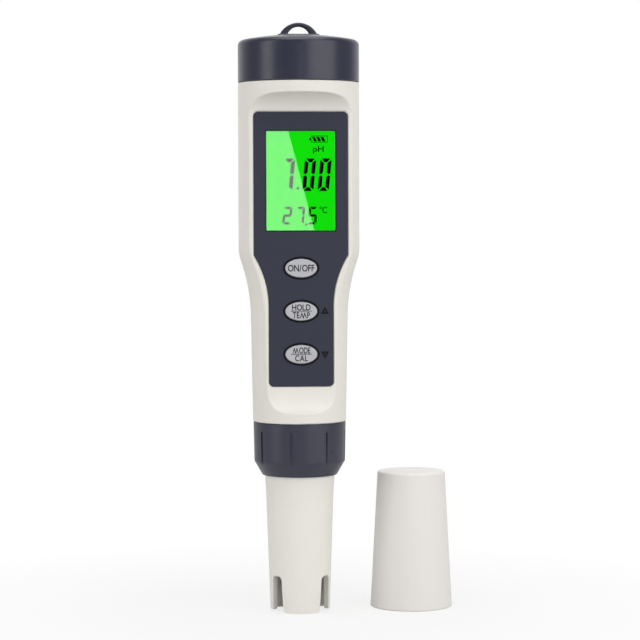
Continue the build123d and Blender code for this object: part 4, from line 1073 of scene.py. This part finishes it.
@dataclass
class Keypad:
    """Three silvered keys, their legends, and a dark ring round each that paints the shade of the gap
    round the key.
    """

    legends: tuple[Legend, ...] = (
        Legend("power", ("ON/OFF",), (8.3,), (-1.05,), 2.15),
        Legend("hold", ("HOLD", "TEMP"), (5.8, 5.4), (0.25, -2.2), 1.95),
        Legend("mode", ("MODE", "CAL"), (5.6, 4.0), (0.25, -2.2), 1.95),
    )
    rule_width: float = 6.6
    rule_height: float = 0.18
    rule_base: float = -0.05
    ring_gap: float = 0.17  # from a key's edge to its ring
    ring_band: float = 0.55
    arrow_x: float = 7.45
    arrow_width: float = 2.5
    arrow_height: float = 2.3
    arrow_line: float = 0.52
    arrow_lift: float = 0.3  # arrow's middle above its key's

    def __post_init__(self) -> None:
        """Read where the keys and the panel stand."""
        self.panel_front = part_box("front_panel")[0].y / MM
        self.boxes = {
            legend.key: [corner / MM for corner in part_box(f"{legend.key}_key")]
            for legend in self.legends
        }

    def height_of(self, key: str) -> float:
        """Give the height of a key's middle, in mm."""
        low, high = self.boxes[key]
        return (low.z + high.z) / 2

    def print_legend(self, legend: Legend) -> None:
        """Print a key's words, with a rule between two lines.

        Args:
            legend: The words and the key that they go on.
        """
        front = self.boxes[legend.key][0].y - INK_THICKNESS
        middle = self.height_of(legend.key)
        body = f"{legend.key}_key"
        for words, width, base in zip(legend.words, legend.widths, legend.bases):
            name = f"{legend.key}_legend_{words.split('/')[0].lower()}"
            line = Print(name, words, 0.0, base, width, legend.height)
            finish_piece(line.build(0.0, middle, front), LEGEND_INK, body)
        if len(legend.words) > 1:
            half, low = self.rule_width / 2, middle + self.rule_base
            rule = rectangle(-half, low, half, low + self.rule_height)
            piece = flat_plates(f"{legend.key}_rule", [rule], front)
            finish_piece(piece, LEGEND_INK, body)

    def paint_gap_shade_rings(self) -> None:
        """Paint dark rings round the keys on the panel: painted shade of the gap round each key."""
        tree, names = ring_row_tree(BLACK_INK_AND_PAINTED_SHADE)
        low, high = self.boxes["mode"]
        top, foot = self.height_of("power"), self.height_of("mode")
        values = {
            "Half Width": (high.x - low.x) / 2 + self.ring_gap,
            "Half Height": (high.z - low.z) / 2 + self.ring_gap,
            "Band": self.ring_band,
            "Front": self.panel_front - INK_THICKNESS,
            "Low": foot,
            "Pitch": (top - foot) / (len(self.legends) - 1),
        }
        inputs = {names[key]: value * MM for key, value in values.items()}
        inputs[names["Count"]] = len(self.legends)
        # The rings are painted shade of the gap round each key, in the black ink's material.
        finish_piece(grown("key_gap_painted_shade", tree, inputs), BLACK_INK_AND_PAINTED_SHADE, METER)

    def print_arrow(self, key: str, up: int) -> None:
        """Print the open triangle beside a key.

        Args:
            key: Key that it stands beside.
            up: 1 to point up, -1 to point down.
        """
        middle = self.height_of(key) + self.arrow_lift * up
        half, tall = self.arrow_width / 2, self.arrow_height / 2
        outer = [(-half, -tall), (half, -tall), (0, tall)]
        inradius = half * 2 * tall / (half + math.hypot(half, 2 * tall))
        shrink = 1 - self.arrow_line / inradius
        centre = inradius - tall
        inner = [(x * shrink, centre + (z - centre) * shrink) for x, z in outer]
        placed = [
            [(self.arrow_x + x, middle + up * z) for x, z in outline] for outline in (outer, inner)
        ]
        piece = ring_plate(f"{key}_arrow", *placed, self.panel_front - INK_THICKNESS)
        finish_piece(piece, BLACK_INK_AND_PAINTED_SHADE, METER)

    def build(self) -> None:
        """Dress the keys, print on them and beside them, and paint shade round them."""
        for legend in self.legends:
            dress(KEY_SILVER, f"{legend.key}_key")
            dress(SILICONE, f"{legend.key}_key_foot")
            dress(WHITE_ABS, f"{legend.key}_plunger")
            self.print_legend(legend)
        dress(SILICONE, "keypad_sheet")
        dress(BLACK_ABS, "tact_switches")
        # A dark ring round each key paints the shade of its gap.
        self.paint_gap_shade_rings()
        self.print_arrow("hold", 1)
        self.print_arrow("mode", -1)


# ---------------------------------------------------------------------------
# Shells and what they hold
# ---------------------------------------------------------------------------
class Housing:
    """Cream shell, its dark front panel and the circuit board inside."""

    def build(self) -> None:
        """Dress the shell, the panel and the electronics."""
        dress(CREAM_ABS, "housing")
        dress(PANEL_FILM, "front_panel")
        dress(WHITE_ABS, "carrier")
        dress(SOLDER_MASK, "main_pcb", "socket_board")
        dress(CHIP_EPOXY, "microcontroller", "amplifier_chips")
        dress(CERAMIC_CHIP, "smd_parts")
        dress(NICKEL, "crystal", "pcb_screws")


@dataclass
class BatteryPack:
    """Four button cells in their holder, with springs and plates."""

    cells: int = 4

    def build(self) -> None:
        """Dress the holder, the cells and the contacts."""
        dress(BLACK_ABS, "battery_holder")
        dress(NICKEL, *[f"battery_cell_{n + 1}" for n in range(self.cells)])
        dress(NICKEL, "contact_spring_1", "contact_spring_2", "contact_plates")


class BatteryCap:
    """Screwed cap with its lanyard loop, its O-ring and the contact that swivels in it."""

    def build(self) -> None:
        """Dress the cap and what it carries."""
        dress(NAVY_ABS, "top_cap")
        dress(NITRILE, "cap_oring")
        dress(BLACK_ABS, "contact_carrier")
        dress(NICKEL, "bridge_contact", "swivel_screw")


class Electrode:
    """Replaceable electrode: its guard, ring nut, plug and sensors."""

    def build(self) -> None:
        """Dress the electrode and the socket that it plugs into."""
        # The guard's colour is painted a shade paler, for the light that gets into its thin wall.
        dress(GUARD_ABS_PAINTED_PALER, "probe_sleeve")
        dress(NAVY_ABS, "collar_nut")
        dress(BULB_GLASS, "ph_glass")
        dress(SILVER_WIRE, "ph_wire")
        dress(WHITE_ABS, "reference_tube")
        dress(FRIT, "reference_frit")
        dress(GRAPHITE, "ec_pins")
        dress(STAINLESS, "temperature_sensor")
        dress(POTTING, "probe_potting")
        dress(NYLON, "probe_plug", "sensor_socket")
        dress(GOLD, "connector_pins", "socket_contacts")
        dress(PVC, "probe_leads")
        dress(NITRILE, "probe_oring", "socket_gasket")


class StorageCap:
    """Loose cap that stands beside the meter."""

    def build(self) -> None:
        """Dress the cap."""
        dress(IVORY_ABS, "storage_cap")


# ---------------------------------------------------------------------------
# Studio
# ---------------------------------------------------------------------------
def direction(azimuth: float, elevation: float) -> Vector:
    """Give the unit vector towards a place, in degrees right of the display's normal and up."""
    turn, tilt = math.radians(azimuth), math.radians(elevation)
    return Vector((math.sin(turn) * math.cos(tilt), -math.cos(turn) * math.cos(tilt), math.sin(tilt)))


def seen_directly(tree: bpy.types.NodeTree) -> bpy.types.NodeSocket:
    """Tell what the eye sees, straight or through glass, from what only lights or is mirrored.

    Args:
        tree: Shader tree.

    Returns:
        1 for what the eye sees and 0 for the rest.
    """
    path = add_node(tree, "ShaderNodeLightPath").outputs
    seen = {0: path["Is Camera Ray"], 1: path["Is Transmission Ray"]}
    return add_node(tree, "ShaderNodeMath", seen, operation="MAXIMUM").outputs[0]


@dataclass(frozen=True)
class SoftBox:
    """One rectangular lamp that faces the meter.

    Attributes:
        name: Name of the lamp.
        azimuth: Degrees to the right of the display's normal.
        elevation: Degrees above the bench.
        width: Width, in metres.
        height: Height, in metres.
        brightness: Radiance, where 1 looks as bright as a white page.
        distance: Distance from what it lights, in metres.
    """

    name: str
    azimuth: float
    elevation: float
    width: float
    height: float
    brightness: float
    distance: float = 0.9

    def build(self, aim: Vector) -> None:
        """Make the lamp.

        Args:
            aim: Point that it is turned to, in metres.
        """
        away = direction(self.azimuth, self.elevation)
        data = bpy.data.lights.new(self.name, "AREA")
        data.shape = "RECTANGLE"
        data.size, data.size_y = self.width, self.height
        data.energy = self.brightness * math.pi * self.width * self.height
        lamp = bpy.data.objects.new(self.name, data)
        lamp.location = aim + away * self.distance
        lamp.rotation_mode = "QUATERNION"
        lamp.rotation_quaternion = (-away).to_track_quat("-Z", "Y")
        bpy.context.scene.collection.objects.link(lamp)


@dataclass
class Studio:
    """White sweep, soft boxes, and the two cards that the display's window mirrors."""

    boxes: tuple[SoftBox, ...] = (
        SoftBox("key box, right", 42.0, 10.0, 0.9, 1.1, 1.3),
        SoftBox("fill box, left", -64.0, 6.0, 0.34, 1.1, 1.7),
        SoftBox("top box", 10.0, 82.0, 0.9, 0.9, 1.7),
    )
    fill: float = 0.63  # even light from all round
    dim: float = 0.28  # what gloss sees of the room in front
    white_begins: float = 0.35  # how far back the room turns from dim to white, as a cosine
    white_full: float = 0.9  # and how far back it is all white
    aim_height: float = 0.1  # of the lamps, in metres, as are the floor's sizes
    floor_size: float = 4.0
    floor_glow: float = 0.78  # share of plain white beside the meter, where the rest takes shadow
    shadow_reach: float = 0.05  # from the meter's axis to where the floor starts to whiten
    white_from: float = 0.16  # and to where it is all white
    paper: str = "#D4D4D3"
    card_distance: float = 400.0  # in mm, as are the rest
    card_margin: float = 14.0
    glare_top: float = -4.0  # edge of the glare at the window's top, from its middle
    glare_foot: float = 4.4
    glare_glow: float = 2.8

    def world(self) -> None:
        """Make the room: even to diffuse light, and white behind the meter to eye, glass and gloss."""
        world = bpy.data.worlds.new("white studio")
        world.use_nodes = True
        tree = world.node_tree
        way = add_node(tree, "ShaderNodeTexCoord").outputs["Generated"]
        apart = add_node(tree, "ShaderNodeSeparateXYZ", {"Vector": way})
        behind = add_node(
            tree,
            "ShaderNodeMapRange",
            {
                "Value": apart.outputs["Y"],
                "From Min": self.white_begins,
                "From Max": self.white_full,
                "To Min": self.dim,
                "To Max": 1.0,
            },
        )
        glossy = add_node(tree, "ShaderNodeLightPath").outputs["Is Glossy Ray"]
        lit = add_node(tree, "ShaderNodeMix", {0: glossy, 2: self.fill, 3: behind.outputs[0]})
        level = add_node(tree, "ShaderNodeMix", {0: seen_directly(tree), 2: lit.outputs[0], 3: 1.0})
        background = tree.nodes["Background"]
        tree.links.new(level.outputs[0], background.inputs["Strength"])
        background.inputs["Color"].default_value = linear("#FFFFFF")
        bpy.context.scene.world = world

    def floor(self) -> None:
        """Lay a pale floor that keeps the shadow near the meter and turns white further out."""
        builder = bmesh.new()
        bmesh.ops.create_grid(builder, x_segments=1, y_segments=1, size=self.floor_size)
        floor = new_mesh_object("floor", builder)
        material, tree, shader = new_material("white paper sweep")
        tree.nodes.remove(shader)
        place = add_node(tree, "ShaderNodeTexCoord").outputs["Object"]
        reach = add_node(tree, "ShaderNodeVectorMath", {0: place}, operation="LENGTH")
        fade = add_node(
            tree,
            "ShaderNodeMapRange",
            {
                "Value": reach.outputs["Value"],
                "From Min": self.shadow_reach,
                "From Max": self.white_from,
                "To Min": self.floor_glow,
                "To Max": 1.0,
            },
        )
        share = add_node(
            tree, "ShaderNodeMath", {0: seen_directly(tree), 1: fade.outputs[0]}, operation="MULTIPLY"
        )
        paper = add_node(tree, "ShaderNodeBsdfDiffuse", {"Color": linear(self.paper)})
        glow = add_node(tree, "ShaderNodeEmission", {"Strength": 1.0})
        mix = add_node(
            tree, "ShaderNodeMixShader", {0: share.outputs[0], 1: paper.outputs[0], 2: glow.outputs[0]}
        )
        tree.links.new(mix.outputs[0], tree.nodes["Material Output"].inputs["Surface"])
        floor.data.materials.append(material)

    def card(self, name: str, outline: Outline, glow: float, camera: Vector, face_y: float) -> None:
        """Stand a card in front of the meter where the window mirrors it to the eye.

        Args:
            name: Name of the card.
            outline: Corners (x, z) that its mirror image has on the window, in mm.
            glow: Radiance of the card.
            camera: Where the eye is, in metres.
            face_y: Y of the window's front face, in mm.
        """
        mirrored = Vector((camera.x, 2 * face_y * MM - camera.y, camera.z))
        builder = bmesh.new()
        corners = []
        for x, z in outline:
            spot = Vector((x, face_y, z)) * MM
            away = spot - mirrored
            corners.append(builder.verts.new(spot + away * (self.card_distance * MM / abs(away.y))))
        builder.faces.new(corners)
        card = new_mesh_object(name, builder)
        material, tree, shader = new_material(name)
        tree.nodes.remove(shader)
        emitter = add_node(tree, "ShaderNodeEmission", {"Strength": glow})
        tree.links.new(emitter.outputs[0], tree.nodes["Material Output"].inputs["Surface"])
        card.data.materials.append(material)
        card.visible_camera = card.visible_diffuse = card.visible_shadow = False
        card.visible_volume_scatter = False

    def build(self, camera: bpy.types.Object) -> None:
        """Make the world, the floor, the lamps and the cards.

        Args:
            camera: Eye that the cards are placed for.
        """
        bpy.context.scene.view_settings.view_transform = "Standard"
        self.world()
        self.floor()
        for box in self.boxes:
            box.build(Vector((0, 0, self.aim_height)))
        low, high = (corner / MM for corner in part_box("display_window"))
        foot, top = low.z, high.z
        left, right = low.x - self.card_margin, high.x + self.card_margin
        face = low.y
        slope = (self.glare_top - self.glare_foot) / (top - foot)
        over, under = top + self.card_margin, foot - self.card_margin
        over_x = self.glare_top + slope * self.card_margin
        under_x = self.glare_foot - slope * self.card_margin
        glare = [(left, under), (under_x, under), (over_x, over), (left, over)]
        flag = [(under_x, under), (right, under), (right, over), (over_x, over)]
        self.card("white card", glare, self.glare_glow, camera.location, face)
        self.card("black flag", flag, 0.0, camera.location, face)


@dataclass(frozen=True)
class Camera:
    """Camera at the viewing angle of a product shot, a little left of the display's normal.

    Attributes:
        azimuth: Degrees to the right of the display's normal.
        pitch: Degrees above level.
        roll: Degrees that it leans.
        distance: Distance from its aim.
        span: Width that it sees at its aim.
        aim: Point that it looks at.
        sensor: Width of its sensor.
        nearest: Nearest distance that it sees.
    """

    azimuth: float = -4.0
    pitch: float = 2.51
    roll: float = -0.17
    distance: float = 760.0
    span: float = 203.2
    aim: tuple[float, float, float] = (6.57, -0.46, 92.4)
    sensor: float = 36.0
    nearest: float = 10.0

    def build(self) -> bpy.types.Object:
        """Make the camera and make it the scene's own.

        Returns:
            The camera.
        """
        back = direction(self.azimuth, self.pitch)
        data = bpy.data.cameras.new("camera")
        data.sensor_width = self.sensor
        data.lens = self.sensor * self.distance / self.span
        data.clip_start = self.nearest * MM
        camera = bpy.data.objects.new("camera", data)
        camera.location = (Vector(self.aim) + back * self.distance) * MM
        camera.rotation_mode = "QUATERNION"
        level = (-back).to_track_quat("-Z", "Y")
        camera.rotation_quaternion = level @ Quaternion((0, 0, 1), math.radians(self.roll))
        bpy.context.scene.collection.objects.link(camera)
        bpy.context.scene.camera = camera
        return camera


def main() -> None:
    """Build the looks in order."""
    camera = Camera().build()
    Studio().build(camera)
    for assembly in (Housing, Display, Keypad, BatteryPack, BatteryCap, Electrode, StorageCap):
        LOG.info("building %s", assembly.__name__)
        assembly().build()


if __name__ == "__main__":
    logging.basicConfig(level=logging.INFO)
    main()
